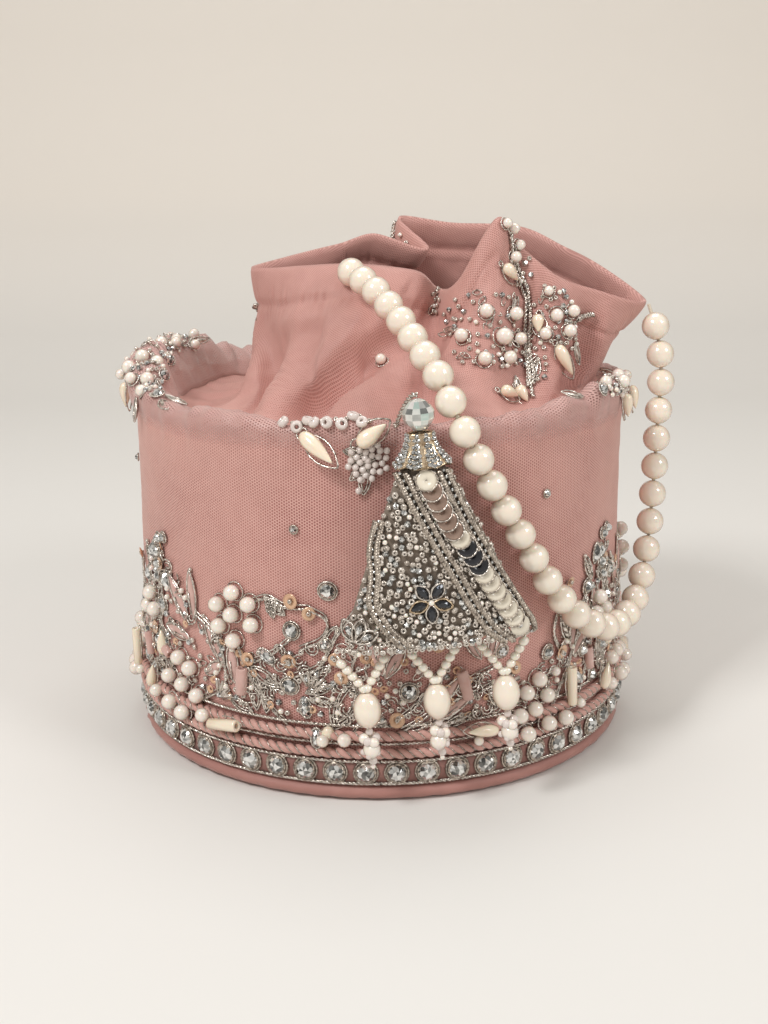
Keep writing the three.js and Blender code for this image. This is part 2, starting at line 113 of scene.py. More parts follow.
def mixed(tree, factor, first, second, blend="MIX"):
    node = tree.nodes.new("ShaderNodeMix")
    node.data_type = "RGBA"
    node.blend_type = blend
    for place, value in ((0, factor), (6, first), (7, second)):
        if isinstance(value, bpy.types.NodeSocket):
            tree.links.new(value, node.inputs[place])
        else:
            node.inputs[place].default_value = value if place == 0 else (*value, 1)
    return node.outputs[2]


def noise(tree, scale, detail=2.0, where=None, roughness=0.5):
    inputs = {"Scale": scale, "Detail": detail, "Roughness": roughness}
    if where is not None:
        inputs["Vector"] = where
    return addNode(tree, "TexNoise", **inputs).outputs[0]


def bump(tree, shader, height, distance, strength=1.0, under=None):
    inputs = {"Height": height, "Distance": distance, "Strength": strength}
    if under is not None:
        inputs["Normal"] = under
    node = addNode(tree, "Bump", **inputs)
    tree.links.new(node.outputs[0], shader.inputs["Normal"])
    return node.outputs[0]


def objectPlace(tree):
    return addNode(tree, "TexCoord").outputs["Object"]


# Satin under net. The net is a hexagonal mesh drawn from the cloth's own millimetres.
netLook = {"cell": 0.9, "thread": (222, 174, 164), "hole": (190, 134, 124),
           "shade": (160, 100, 92), "pull": 0.4}


collarLook = {"cell": 0.74, "thread": (217, 167, 157), "hole": (196, 141, 131),
              "shade": (170, 112, 103), "pull": 0.5}


def netHeight(tree, cell):
    place = addNode(tree, "SeparateXYZ", Vector=addNode(tree, "UVMap").outputs[0])
    wave = 4 * math.pi / (math.sqrt(3) * cell)
    across = maths(tree, "MULTIPLY", place.outputs[0], wave)
    along = maths(tree, "MULTIPLY", place.outputs[1], wave * math.sqrt(3) / 2)
    half = maths(tree, "MULTIPLY", across, 0.5)
    waves = [maths(tree, "COSINE", across),
             maths(tree, "COSINE", maths(tree, "SUBTRACT", along, half)),
             maths(tree, "COSINE", maths(tree, "ADD", along, half))]
    total = maths(tree, "ADD", maths(tree, "ADD", waves[0], waves[1]), waves[2])
    return addNode(tree, "MapRange", {"interpolation_type": "SMOOTHSTEP"},
                   Value=total, From_Min=1.3, From_Max=-0.6).outputs[0]


def makeNetSatin(name, look):
    finish, tree, shader = newFinish(name, Roughness=0.5, Sheen_Weight=0.35,
                                     Sheen_Roughness=0.4, Specular_IOR_Level=0.35)
    shader.inputs["Sheen Tint"].default_value = (*rgb(255, 225, 215), 1)
    thread = netHeight(tree, look["cell"])
    where = objectPlace(tree)
    cloud = addNode(tree, "MapRange", Value=noise(tree, 24, 4, where, 0.6), From_Min=0.36,
                    From_Max=0.64).outputs[0]
    # The shade colour is painted shade, mixed into the net holes in cloudy patches
    hole = mixed(tree, cloud, rgb(*look["shade"]), rgb(*look["hole"]))
    pull = noise(tree, 240, 2, where)
    strength = maths(tree, "MULTIPLY", thread,
                     maths(tree, "ADD", maths(tree, "MULTIPLY", pull, look["pull"]), 0.62))
    colour = mixed(tree, strength, hole, rgb(*look["thread"]))
    tree.links.new(colour, shader.inputs["Base Color"])
    height = maths(tree, "ADD", thread, maths(tree, "MULTIPLY", cloud, 2.0))
    bump(tree, shader, height, 0.00016, 0.8)
    return finish


def makeSatin(name, light, dark, rough=0.42):
    finish, tree, shader = newFinish(name, Roughness=rough, Sheen_Weight=0.25,
                                     Sheen_Roughness=0.35, Specular_IOR_Level=0.4)
    where = objectPlace(tree)
    weave = addNode(tree, "TexWave", {"bands_direction": "DIAGONAL"}, Vector=where,
                    Scale=900, Distortion=2.0, Detail=1.0).outputs[1]
    cloud = noise(tree, 60, 3, where)
    tone = maths(tree, "ADD", maths(tree, "MULTIPLY", weave, 0.35),
                 maths(tree, "MULTIPLY", cloud, 0.65))
    tree.links.new(mixed(tree, tone, rgb(*dark), rgb(*light)), shader.inputs["Base Color"])
    bump(tree, shader, weave, 0.00008, 0.5)
    return finish


def makePearl(name, core, edge, rough=0.22):
    finish, tree, shader = newFinish(name, Roughness=rough, Coat_Weight=1.0, Coat_IOR=1.8,
                                     Coat_Roughness=0.09, Subsurface_Weight=0.15,
                                     Subsurface_Scale=0.002)
    # Core to edge ramp on facing: a painted dark rim reflection, darker where the pearl turns away
    # from view
    facing = addNode(tree, "LayerWeight", Blend=0.35).outputs["Facing"]
    paintedRim = ramp(tree, facing, [(0.0, rgb(*core)), (0.25, rgb(*core)), (0.8, rgb(*edge))])
    cloud = noise(tree, 420, 3, objectPlace(tree))
    tree.links.new(mixed(tree, maths(tree, "MULTIPLY", cloud, 0.22), paintedRim,
                         rgb(250, 232, 218)), shader.inputs["Base Color"])
    bump(tree, shader, cloud, 0.00005, 0.3)
    return finish


def makeMetal(name, light, dark, rough, metallic=0.85, grain=900):
    finish, tree, shader = newFinish(name, Metallic=metallic)
    where = objectPlace(tree)
    fleck = noise(tree, grain, 3, where, 0.7)
    tree.links.new(ramp(tree, fleck, [(0.3, rgb(*dark)), (0.62, rgb(*light))]),
                   shader.inputs["Base Color"])
    tree.links.new(addNode(tree, "MapRange", Value=fleck, To_Min=rough * 1.3,
                           To_Max=rough * 0.7).outputs[0], shader.inputs["Roughness"])
    bump(tree, shader, fleck, 0.00012, 0.6)
    return finish


def makeFacets(name, stops, rough=0.06, metallic=0.75):
    # Foiled crystal: each facet gets a random painted brightness from its glint value, a painted
    # reflection
    finish, tree, shader = newFinish(name, Metallic=metallic, Roughness=rough,
                                     Coat_Weight=1.0, Coat_Roughness=0.02)
    glint = addNode(tree, "Attribute", {"attribute_name": "glint"}).outputs["Fac"]
    cloud = noise(tree, 700, 1, objectPlace(tree))
    tone = maths(tree, "ADD", maths(tree, "MULTIPLY", glint, 0.85),
                 maths(tree, "MULTIPLY", cloud, 0.15))
    tree.links.new(ramp(tree, tone, stops), shader.inputs["Base Color"])
    return finish


def makeGlaze(name, light, dark, rough=0.2, clear=0.0, metallic=0.0, grain=300):
    # Glassy or foil bead: clear share lets light through
    finish, tree, shader = newFinish(name, Roughness=rough, Metallic=metallic,
                                     Transmission_Weight=clear, IOR=1.45, Coat_Weight=0.6,
                                     Coat_Roughness=0.05)
    cloud = noise(tree, grain, 2, objectPlace(tree))
    tree.links.new(mixed(tree, cloud, rgb(*dark), rgb(*light)), shader.inputs["Base Color"])
    bump(tree, shader, cloud, 0.00006, 0.4)
    return finish


def makeOpenNet(look):
    # Net with nothing behind it: the holes are left open
    finish, tree, shader = newFinish("openNet", Roughness=0.45, Sheen_Weight=0.3)
    thread = netHeight(tree, look["cell"])
    tone = noise(tree, 160, 2, objectPlace(tree))
    tree.links.new(mixed(tree, tone, rgb(206, 156, 148), rgb(232, 196, 188)),
                   shader.inputs["Base Color"])
    drawn = addNode(tree, "MapRange", Value=thread, To_Min=0.06, To_Max=0.75).outputs[0]
    along = addNode(tree, "SeparateXYZ", Vector=addNode(tree, "UVMap").outputs[0]).outputs[1]
    fade = addNode(tree, "MapRange", Value=along, From_Min=0.5, From_Max=7.0).outputs[0]
    tree.links.new(maths(tree, "MULTIPLY", drawn, fade), shader.inputs["Alpha"])
    return finish


finishes = {
    "openNet": makeOpenNet(netLook),
    "netSatin": makeNetSatin("satinUnderNet", netLook),
    "collarSatin": makeNetSatin("collarSatin", collarLook),
    "lining": makeSatin("liningSatin", (206, 156, 148), (160, 104, 98)),
    "roll": makeSatin("rolledEdgeSatin", (196, 146, 136), (150, 100, 92), 0.5),
    "ribbon": makeSatin("ribbonSatin", (172, 128, 118), (128, 86, 80), 0.55),
    "rope": makeSatin("twistedRope", (226, 184, 172), (182, 128, 118), 0.4),
    "thread": makeSatin("beadingThread", (236, 226, 208), (206, 192, 170), 0.6),
    "board": makeSatin("greyBoard", (190, 176, 156), (150, 136, 118), 0.9),
    "felt": makeSatin("backingFelt", (150, 136, 122), (112, 100, 90), 0.9),
    "pearl": makePearl("handlePearl", (246, 234, 216), (176, 146, 118)),
    "bead": makePearl("sewnPearl", (244, 234, 222), (166, 140, 122), 0.26),
    "seed": makePearl("ivorySeed", (248, 238, 222), (190, 166, 142), 0.3),
    "shell": makePearl("shellDrop", (246, 230, 204), (190, 160, 126), 0.25),
    "silver": makeMetal("silverWire", (244, 236, 226), (116, 102, 92), 0.24),
    "antique": makeMetal("agedSilver", (216, 204, 190), (88, 76, 68), 0.3),
    "gilt": makeMetal("giltCap", (240, 218, 186), (148, 118, 88), 0.26),
    "stone": makeFacets("foiledCrystal", [(0.0, (0.02, 0.02, 0.02)), (0.3, (0.2, 0.2, 0.19)),
                                          (0.55, (0.62, 0.62, 0.6)), (0.8, (0.95, 0.95, 0.93))]),
    "aurora": makeFacets("auroraCrystal", [(0.0, rgb(92, 94, 92)), (0.25, rgb(170, 172, 168)),
                                           (0.45, rgb(236, 234, 228)), (0.62, rgb(186, 208, 200)),
                                           (0.8, rgb(255, 252, 246)), (1.0, rgb(226, 208, 212))],
                         0.08, 0.55),
    "dew": makeGlaze("clearPearlGlass", (252, 244, 238), (226, 208, 200), 0.12, 0.15),
    "inkStone": makeFacets("darkFacet", [(0.0, (0.004, 0.005, 0.008)),
                                         (1.0, (0.03, 0.035, 0.045))]),
    "clearSeed": makeGlaze("silverLinedSeed", (240, 232, 222), (160, 146, 132), 0.12, 0.0, 0.45),
    "pinkGlass": makeGlaze("roseGlass", (244, 210, 200), (220, 168, 156), 0.12, 0.25),
    "peach": makeGlaze("peachSequin", (240, 202, 168), (214, 164, 128), 0.2, 0.1, 0.15),
    "ink": makeGlaze("inkSequin", (46, 46, 52), (22, 22, 26), 0.18),
    "cream": makeGlaze("creamSequin", (244, 236, 220), (224, 212, 190), 0.3),
    "smoke": makeGlaze("smokeSequin", (206, 178, 160), (150, 120, 104), 0.15, 0.3, 0.3),
}


# Mesh shapes are (points, quads, tris), and a heap gathers many copies into one piece
def newHeap():
    return {"points": [], "quads": [], "tris": [], "size": 0}


def pile(heap, shape, spots=None):
    points, quads, tris = shape
    turns, moves = (np.eye(3)[None], np.zeros((1, 3))) if spots is None else \
        (np.array([s[0] for s in spots]), np.array([s[1] for s in spots]))
    placed = np.einsum("nij,pj->npi", turns, points) + moves[:, None]
    starts = heap["size"] + len(points) * np.arange(len(turns))
    for key, faces in (("quads", quads), ("tris", tris)):
        if len(faces):
            heap[key].append((np.asarray(faces)[None] + starts[:, None, None])
                             .reshape(-1, np.asarray(faces).shape[1]))
    heap["points"].append(placed.reshape(-1, 3))
    heap["size"] += len(points) * len(turns)


def addPiece(name, heap, finish, body="root", flat=False, inPlaceOf=(), uv=None):
    points = np.concatenate(heap["points"])
    faces = [f for part in heap["quads"] + heap["tris"] for f in part.tolist()]
    mesh = bpy.data.meshes.new(name)
    mesh.from_pydata((points * mm).tolist(), [], faces)
    mesh.polygons.foreach_set("use_smooth", np.full(len(faces), not flat))
    if uv is not None:
        layer = mesh.uv_layers.new(name="cloth")
        corners = np.zeros(len(mesh.loops), np.int32)
        mesh.loops.foreach_get("vertex_index", corners)
        layer.data.foreach_set("uv", np.asarray(uv, np.float32)[corners].ravel())
    if flat:
        # random painted brightness for each facet, a painted reflection that makeFacets reads
        glint = mesh.attributes.new("glint", "FLOAT", "FACE")
        glint.data.foreach_set("value", dice.random(len(faces)).astype(np.float32))
    mesh.materials.append(finishes[finish])
    mesh.update()
    piece = bpy.data.objects.new(name, mesh)
    bpy.context.scene.collection.objects.link(piece)
    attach(piece, body)
    if inPlaceOf:
        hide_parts(*inPlaceOf)
    return piece


def addHeaps(prefix, heaps, body="root", inPlaceOf=()):
    # One piece for each finish. The first takes the place of the plain node.
    for key, heap in heaps.items():
        addPiece(prefix + key[0].upper() + key[1:], heap, key,
                 body, flat=key in ("stone", "inkStone"),
                 inPlaceOf=inPlaceOf)
        inPlaceOf = ()


def lathe(profile, sides, loop=False):
    # Turned about Z from (radius, height) pairs: poles where the radius is 0
    outline = np.array(profile, float)
    following = np.roll(outline, -1, axis=0)
    if np.sum(outline[:, 0] * following[:, 1] - following[:, 0] * outline[:, 1]) < 0:
        outline = outline[::-1]
    points, quads, tris, rings = [], [], [], []
    angles = fullTurn * np.arange(sides) / sides
    for radius, height in outline:
        start = len(points)
        if radius < 1e-9:
            points.append((0, 0, height))
            rings.append([start])
        else:
            points += [(radius * math.cos(a), radius * math.sin(a), height) for a in angles]
            rings.append(list(range(start, start + sides)))
    pairs = list(zip(rings, rings[1:])) + ([(rings[-1], rings[0])] if loop else [])
    for low, high in pairs:
        for j in range(sides):
            k = (j + 1) % sides
            if len(low) == 1 and len(high) == 1:
                continue
            if len(low) == 1:
                tris.append((low[0], high[k], high[j]))
            elif len(high) == 1:
                tris.append((low[j], low[k], high[0]))
            else:
                quads.append((low[j], low[k], high[k], high[j]))
    return np.array(points, float), np.array(quads, int).reshape(-1, 4), \
        np.array(tris, int).reshape(-1, 3)


def ball(radius, sides=12, rings=8, stretch=1.0):
    return lathe([(radius * math.sin(math.pi * i / rings) if 0 < i < rings else 0,
                   -radius * stretch * math.cos(math.pi * i / rings))
                  for i in range(rings + 1)], sides)


def reshaped(shape, turn=None, scale=(1, 1, 1), move=(0, 0, 0)):
    points = shape[0] * np.array(scale)
    if turn is not None:
        points = points @ np.array(turn).T
    return points + np.array(move), shape[1], shape[2]


def spin(axis, degrees):
    return np.array(Matrix.Rotation(math.radians(degrees), 3, axis))


def unit(vectors):
    return vectors / np.maximum(np.linalg.norm(vectors, axis=-1, keepdims=True), 1e-12)


def carried(path, closed=False):
    # Two directions across a path, carried along it without twisting
    path = np.asarray(path, float)
    ahead = unit(np.roll(path, -1, 0) - np.roll(path, 1, 0)) if closed \
        else unit(np.gradient(path, axis=0))
    out = np.zeros_like(path)
    out[0] = unit(np.cross(ahead[0], np.eye(3)[np.argmin(np.abs(ahead[0]))]))
    for i in range(1, len(path)):
        out[i] = unit(out[i - 1] - ahead[i] * np.dot(out[i - 1], ahead[i]))
    return out, np.cross(ahead, out)


def plait(path, offset, radius, pitch, plies=2, sides=5, closed=False, start=0.0):
    # Plies that wind round a path, a list of tubes
    path = np.asarray(path, float)
    out, across = carried(path, closed)
    step = np.linalg.norm(np.diff(path, axis=0), axis=1)
    along = np.concatenate([[0], np.cumsum(step)])
    if closed:
        whole = along[-1] + np.linalg.norm(path[0] - path[-1])
        pitch = whole / max(round(whole / pitch), 1)
    tubes = []
    for ply in range(plies):
        angle = (fullTurn * (along / pitch + ply / plies) + start)[:, None]
        tubes.append(tube(path + offset * (np.cos(angle) * out + np.sin(angle) * across),
                          radius, sides, closed))
    return tubes


def tube(path, radius, sides=6, closed=False):
    path = np.asarray(path, float)
    count = len(path)
    out, across = carried(path, closed)
    angles = fullTurn * np.arange(sides) / sides
    radii = np.broadcast_to(np.asarray(radius, float), (count,))[:, None, None]
    rings = path[:, None] + radii * (np.cos(angles)[None, :, None] * out[:, None]
                                     + np.sin(angles)[None, :, None] * across[:, None])
    low = np.arange(count if closed else count - 1)[:, None] * sides
    high = (low + sides) % (count * sides)
    j = np.arange(sides)[None]
    k = (j + 1) % sides
    quads = np.stack([low + j, low + k, high + k, high + j], -1).reshape(-1, 4)
    points, tris = rings.reshape(-1, 3), np.zeros((0, 3), int)
    if not closed:
        points = np.concatenate([points, path[:1], path[-1:]])
        last, a = (count - 1) * sides, np.arange(sides)
        b = (a + 1) % sides
        tris = np.concatenate([
            np.stack([np.full(sides, count * sides), b, a], -1),
            np.stack([np.full(sides, count * sides + 1), last + a, last + b], -1)])
    return points, quads, tris


def gridFaces(rows, columns, wrapRows=False, wrapColumns=True):
    i = np.arange(rows if wrapRows else rows - 1)[:, None]
    j = np.arange(columns if wrapColumns else columns - 1)[None]
    up, beside = (i + 1) % rows, (j + 1) % columns
    return np.stack([i * columns + j, i * columns + beside, up * columns + beside,
                     up * columns + j], -1).reshape(-1, 4)


# Smooth line through points, with the same spacing rule as the model's own curves
def centripetal(points, closed, share):
    count = len(points)
    place = (count if closed else count - 1) * share
    start = int(math.floor(place))
    rest = place - start
    if closed:
        start %= count
    elif start >= count - 1:
        start, rest = count - 2, 1.0
    p1, p2 = points[start], points[(start + 1) % count]
    p0 = points[(start - 1) % count] if closed or start else 2 * p1 - p2
    p3 = points[(start + 2) % count] if closed or start + 2 < count else 2 * p2 - p1
    d0, d1, d2 = [max(np.sum((b - a) ** 2) ** 0.25, 1e-4)
                  for a, b in ((p0, p1), (p1, p2), (p2, p3))]
    t1 = ((p1 - p0) / d0 - (p2 - p0) / (d0 + d1) + (p2 - p1) / d1) * d1
    t2 = ((p2 - p1) / d1 - (p3 - p1) / (d1 + d2) + (p3 - p2) / d2) * d1
    return (p1 + t1 * rest + (-3 * p1 + 3 * p2 - 2 * t1 - t2) * rest ** 2
            + (2 * p1 - 2 * p2 + t1 + t2) * rest ** 3)


def smoothLine(points, count, closed=False):
    points = np.array(points, float)
    shares = np.arange(count) / (count if closed else count - 1)
    return np.array([centripetal(points, closed, s) for s in shares])


def lineLength(path):
    return float(np.sum(np.linalg.norm(np.diff(path, axis=0), axis=1)))


# Handle: thread and pearls
handle = {
    "start": (-9.4, -16.03, 155.2), "end": (88.36, -9.05, 140.37), "thread": 1.1,
    "route": [(-8.5, -22.5, 152.6), (-2, -36.5, 149.2), (5.8, -53, 142), (11.6, -67, 135),
              (17.4, -79.6, 127.4), (22.2, -86.8, 117.6), (31.6, -82.8, 98.5),
              (41, -77.4, 81.5), (50.4, -71.6, 65), (60, -63.8, 52.4), (70, -52.8, 44.6),
              (79.2, -38, 42.6), (86, -24.5, 47.5), (90.2, -15.5, 62), (92, -11.5, 80),
              (92.8, -10, 100), (93.2, -10, 119), (91.6, -9.6, 130.5)],
    "pearl": 9.1, "bore": 1.0, "count": 33, "sides": 24, "rows": 18}


def makeHandle(look):
    path = smoothLine([look["start"], *look["route"], look["end"]], 700)
    thread = newHeap()
    pile(thread, tube(path, look["thread"] / 2, 8))
    cord = addPiece("handleThread", thread, "thread", "handle",
                    inPlaceOf=["handle_thread"])
    names = [f"handle_pearl_{i + 1:02d}" for i in range(look["count"])]
    centres = np.array([np.mean([v.co for v in nodes[n].data.vertices], axis=0) / mm
                        for n in names])
    ahead = unit(np.gradient(centres, axis=0))
    half, bore = look["pearl"] / 2, look["bore"] / 2
    start = math.asin(bore / half)
    angles = start + (math.pi - 2 * start) * np.arange(look["rows"]) / (look["rows"] - 1)
    profile = [(half * math.sin(a), -half * math.cos(a)) for a in angles]
    drilled = [(bore, 0.75 * half * side) for side in (1, -1)]
    shape = lathe([*profile, *drilled], look["sides"], loop=True)
    pearls = newHeap()
    spots = []
    for centre, way in zip(centres, ahead):
        side = unit(np.cross(way, (0.3, 0.2, 1)))
        spots.append((np.stack([side, np.cross(way, side), way], 1), centre))
    pile(pearls, shape, spots)
    strand = addPiece("handlePearls", pearls, "pearl", "handle", inPlaceOf=names)


makeHandle(handle)
print("handle made")

# Cloth: wall, rolled rim and gathered collar come from one grid of points
wall = {"radius": 81.0, "foot": 5.3, "rim": 115.0, "cloth": 1.0}
collar = {
    "neck": 45, "neckHeight": 98, "neckShift": 15, "neckRise": 10, "neckAzimuth": 80,
    "foldDepth": 1.6, "foldCount": 12, "foldSkew": 3.5,
    "hem": [(-90, -42, 0, 152.5), (-64, -33, -9, 153), (-46, -24, -14, 154.5),
            (-28, -12, -15, 155), (-10, 0, -16, 154), (4, 13, -16, 152.2),
            (14, 19.5, -5, 146), (23, 25, -26, 150), (32, 37.5, -28, 169.5),
            (41, 45, -23, 160.5), (54, 56, -28, 151.5), (70, 70, -23, 146),
            (91, 88, -8, 141), (112, 76.5, 14, 151), (128, 66, 27, 156.5),
            (144, 51, 37, 163), (164, 26, 40, 164.5), (178, 7, 36, 167),
            (195, 15, 19, 158), (210, -2, 20, 162.5), (224, -14, 17, 159),
            (246, -31, 11, 155)],
    "around": 420, "wallRows": 64, "rows": 92, "tuck": 0.07, "hemWidth": 12.0, "run": 71.7,
    "tips": [(-42, 26, 3.4), (62, 14, 2.0), (120, 18, 2.4), (205, 20, 2.6)],
    # Fold lines: stops of azimuth and level, rise, soft side and sharp side in mm, and
    # which side is sharp
    "creases": [
        ([(-34, 0.30), (-31.2, 0.5), (-22, 0.63), (-15, 0.73), (-7, 0.8), (-2, 0.9)],
         7.6, 15, 3.0, 1),
        ([(-15, 0.24), (-12, 0.38), (-7, 0.52), (0, 0.64), (11, 0.77)], 5.6, 11, 3.4, -1),
        ([(-52, 0.2), (-57, 0.5), (-69, 0.65), (-86, 0.84)], 4.2, 8, 2.4, 1),
        ([(-76, 0.16), (-80, 0.36), (-98, 0.6)], 2.4, 5, 2.0, -1),
        ([(-100, 0.12), (-104, 0.4), (-112, 0.66)], 2.6, 6, 2.0, 1),
        ([(37, 0.96), (41, 0.92), (45, 0.85), (44.8, 0.7), (45, 0.6), (43, 0.4)],
         -3.4, 3.4, 3.4, 1),
        ([(61, 0.95), (61, 0.8), (60, 0.65), (50, 0.34)], 3.6, 7, 2.0, -1),
        ([(74, 0.94), (75, 0.78), (73, 0.55), (60, 0.26)], 4.0, 7, 2.2, 1),
        ([(24, 0.15), (20, 0.4), (20, 0.62), (24, 0.8)], 3.6, 8, 2.4, -1),
        ([(100, 0.92), (108, 0.6), (118, 0.2)], 3.2, 8, 2.0, 1),
        ([(128, 0.9), (134, 0.55), (130, 0.2)], 3.0, 7, 2.0, -1),
        ([(150, 0.9), (144, 0.6), (152, 0.2)], 3.4, 8, 2.0, 1),
        ([(170, 0.94), (178, 0.6), (172, 0.25)], 3.0, 7, 2.0, -1),
        ([(200, 0.9), (192, 0.55), (198, 0.2)], 3.2, 8, 2.0, 1),
        ([(222, 0.92), (226, 0.6), (216, 0.25)], 3.2, 7, 2.0, -1),
        ([(244, 0.88), (238, 0.5), (244, 0.2)], 3.0, 7, 2.0, 1)]}


def hemAt(azimuth, look):
    stops = [row[0] for row in look["hem"]] + [look["hem"][0][0] + 360]
    turned = (azimuth - stops[0]) % 360 + stops[0]
    i = max(n for n in range(len(look["hem"])) if stops[n] <= turned)
    share = (i + (turned - stops[i]) / (stops[i + 1] - stops[i])) / len(look["hem"])
    return centripetal(np.array([row[1:] for row in look["hem"]], float), True, share)


def around(azimuths, radius, height):
    angle = np.radians(azimuths)
    return np.stack([radius * np.sin(angle), -radius * np.cos(angle),
                     np.broadcast_to(height, np.shape(angle)).astype(float)], -1)


def softNoise(u, v, seed, low, high, waves=14, ratio=1.0):
    # Sum of waves that close on themselves round the pouch. u is 0 to 1 round it
    rolls = np.random.default_rng(seed)
    total = np.zeros(np.broadcast(u, v).shape)
    for _ in range(waves):
        turns = rolls.integers(low, high + 1) * rolls.choice([-1, 1])
        rate = rolls.uniform(-1, 1) * high * ratio
        total += rolls.uniform(0.5, 1) * np.sin(fullTurn * (turns * u + rate * v
                                                            + rolls.random()))
    return total / math.sqrt(waves)


def gridNormals(grid):
    along = np.roll(grid, -1, 1) - np.roll(grid, 1, 1)
    return unit(np.cross(along, np.gradient(grid, axis=0)))


def smoothRows(grid, sigma, keep):
    # Eases the profile of the rim. keep is 1 where a row stays as it is
    reach = int(3 * sigma)
    weights = np.exp(-0.5 * (np.arange(-reach, reach + 1) / sigma) ** 2)
    padded = np.concatenate([np.repeat(grid[:1], reach, 0), grid,
                             np.repeat(grid[-1:], reach, 0)])
    eased = sum(w * padded[i:i + len(grid)] for i, w in enumerate(weights)) / weights.sum()
    return grid * keep[:, None, None] + eased * (1 - keep[:, None, None])


def makeClothGrid(look):
    azimuths = 360 * np.arange(look["around"]) / look["around"]
    heights = np.linspace(wall["foot"], wall["rim"], look["wallRows"], endpoint=False)
    straight = np.stack([around(azimuths, wall["radius"], z) for z in heights])
    levels = np.linspace(0, 1, look["rows"])[:, None, None]
    rim = around(azimuths, wall["radius"], wall["rim"])
    hem = np.array([hemAt(a, look) for a in azimuths])
    side = np.cos(np.radians(azimuths - look["neckAzimuth"]))
    neck = around(azimuths, look["neck"] + look["neckShift"] * side,
                  look["neckHeight"] + look["neckRise"] * side)
    bend = (1 - levels) ** 2 * rim + 2 * levels * (1 - levels) * neck + levels ** 2 * hem
    flat = levels[:, :, 0]
    fold = look["foldDepth"] * np.sin(math.pi * flat) * np.cos(
        np.radians(azimuths) * look["foldCount"] + look["foldSkew"] * flat)
    outward = around(azimuths, 1.0, 0.0)
    bend = bend + fold[..., None] * (0.6 * outward + np.array([0, 0, 0.8]))
    grid = np.concatenate([straight, bend])
    row = np.arange(len(grid)) - look["wallRows"]
    keep = np.clip((np.abs(row) - 6) / 8, 0, 1)
    return azimuths, smoothRows(grid, 3.2, keep)


def crease(azimuths, levels, fold, squeeze=0.85, tall=66):
    # One fold line: a soft slope on one side of it and a sharp drop on the other
    stops, rise, soft, sharp, hand = fold
    line = smoothLine(np.array([(a * squeeze, 0, l * tall) for a, l in stops], float), 40)
    line = line[:, [0, 2]]
    x = ((azimuths - stops[0][0] + 180) % 360 - 180 + stops[0][0]) * squeeze
    spots = np.stack(np.broadcast_arrays(x[None], levels[:, None] * tall), -1)
    gaps = np.linalg.norm(spots[:, :, None] - line[None, None], axis=-1)
    near = np.argmin(gaps, axis=-1)
    ahead = unit(np.gradient(line, axis=0))[near]
    offset = spots - line[near]
    cross = hand * (offset[..., 0] * ahead[..., 1] - offset[..., 1] * ahead[..., 0])
    beyond = np.abs(np.sum(offset * ahead, -1))
    gap = np.sign(cross) * gaps.min(axis=-1)
    wide = np.where(gap > 0, sharp, soft)
    ends = np.sin(math.pi * np.clip((near + 1) / 42, 0.02, 0.98)) ** 0.6
    dip = -0.45 * np.exp(-((gap - 2.6 * sharp) / (1.9 * sharp)) ** 2)
    return rise * ends * np.exp(-(beyond / 4) ** 2) * (np.exp(-(gap / wide) ** 2) + dip)


def wrinkle(azimuths, grid, look):
    # Height of the wrinkles above the eased cloth, row by row
    count = grid.shape[1]
    u = (azimuths / 360)[None]
    step = np.linalg.norm(np.diff(grid, axis=0), axis=2)
    run = np.concatenate([np.zeros((1, count)), np.cumsum(step, 0)])
    fromHem = run[-1] - run
    fromRim = run - run[look["wallRows"]]
    onWall = 1 / (1 + np.exp(fromRim / 3))
    v = run / 100
    lift = onWall * 0.35 * softNoise(u, v, 3, 2, 9, ratio=0.4)
    lift = lift + onWall * 0.12 * softNoise(u, v, 4, 12, 40, ratio=0.3)
    rimBand = np.exp(-(fromRim / 9) ** 2)
    lift = lift + rimBand * (0.7 * softNoise(u, v * 0.3, 5, 9, 30, ratio=0.1)
                             + 0.35 * softNoise(u, v * 0.3, 6, 36, 80, ratio=0.1))
    levels = np.linspace(0, 1, look["rows"])
    for fold in look["creases"]:
        lift[look["wallRows"]:] += crease(azimuths, levels, fold)
    gather = (1 - onWall) * (1 - np.exp(-(fromHem / 14) ** 2))
    lift = lift + gather * (0.9 * softNoise(u, v, 7, 7, 20, ratio=0.12)
                            + 0.25 * softNoise(u, v, 8, 24, 60, ratio=0.2))
    hemPart = np.clip(1 - ((fromHem - look["hemWidth"] / 2) / (look["hemWidth"] / 2)) ** 2, 0, 1)
    lift = lift + (1 - onWall) * (0.9 * np.sqrt(hemPart)
                                  - 0.6 * np.exp(-((fromHem - look["hemWidth"]) / 0.8) ** 2))
    for middle, wide, depth in look["tips"]:
        away = np.exp(-(((azimuths - middle + 180) % 360 - 180) / wide) ** 2)[None]
        share = np.clip(1 - fromHem / look["hemWidth"], 0, 1)
        below = np.exp(-((fromHem - look["hemWidth"] - 6) / 5) ** 2)
        lift = lift + (1 - onWall) * away * depth * (0.7 * below - share ** 1.4)
    pucker = (1 - onWall) * np.exp(-((fromHem - look["hemWidth"]) / 5) ** 2)
    lift = lift + pucker * 0.3 * softNoise(u, v, 9, 60, 110, ratio=0.05)
    return lift, run, fromHem


azimuths, eased = makeClothGrid(collar)
lift, run, fromHem = wrinkle(azimuths, eased, collar)
outerCloth = eased + lift[..., None] * gridNormals(eased)
clothOut = gridNormals(outerCloth)


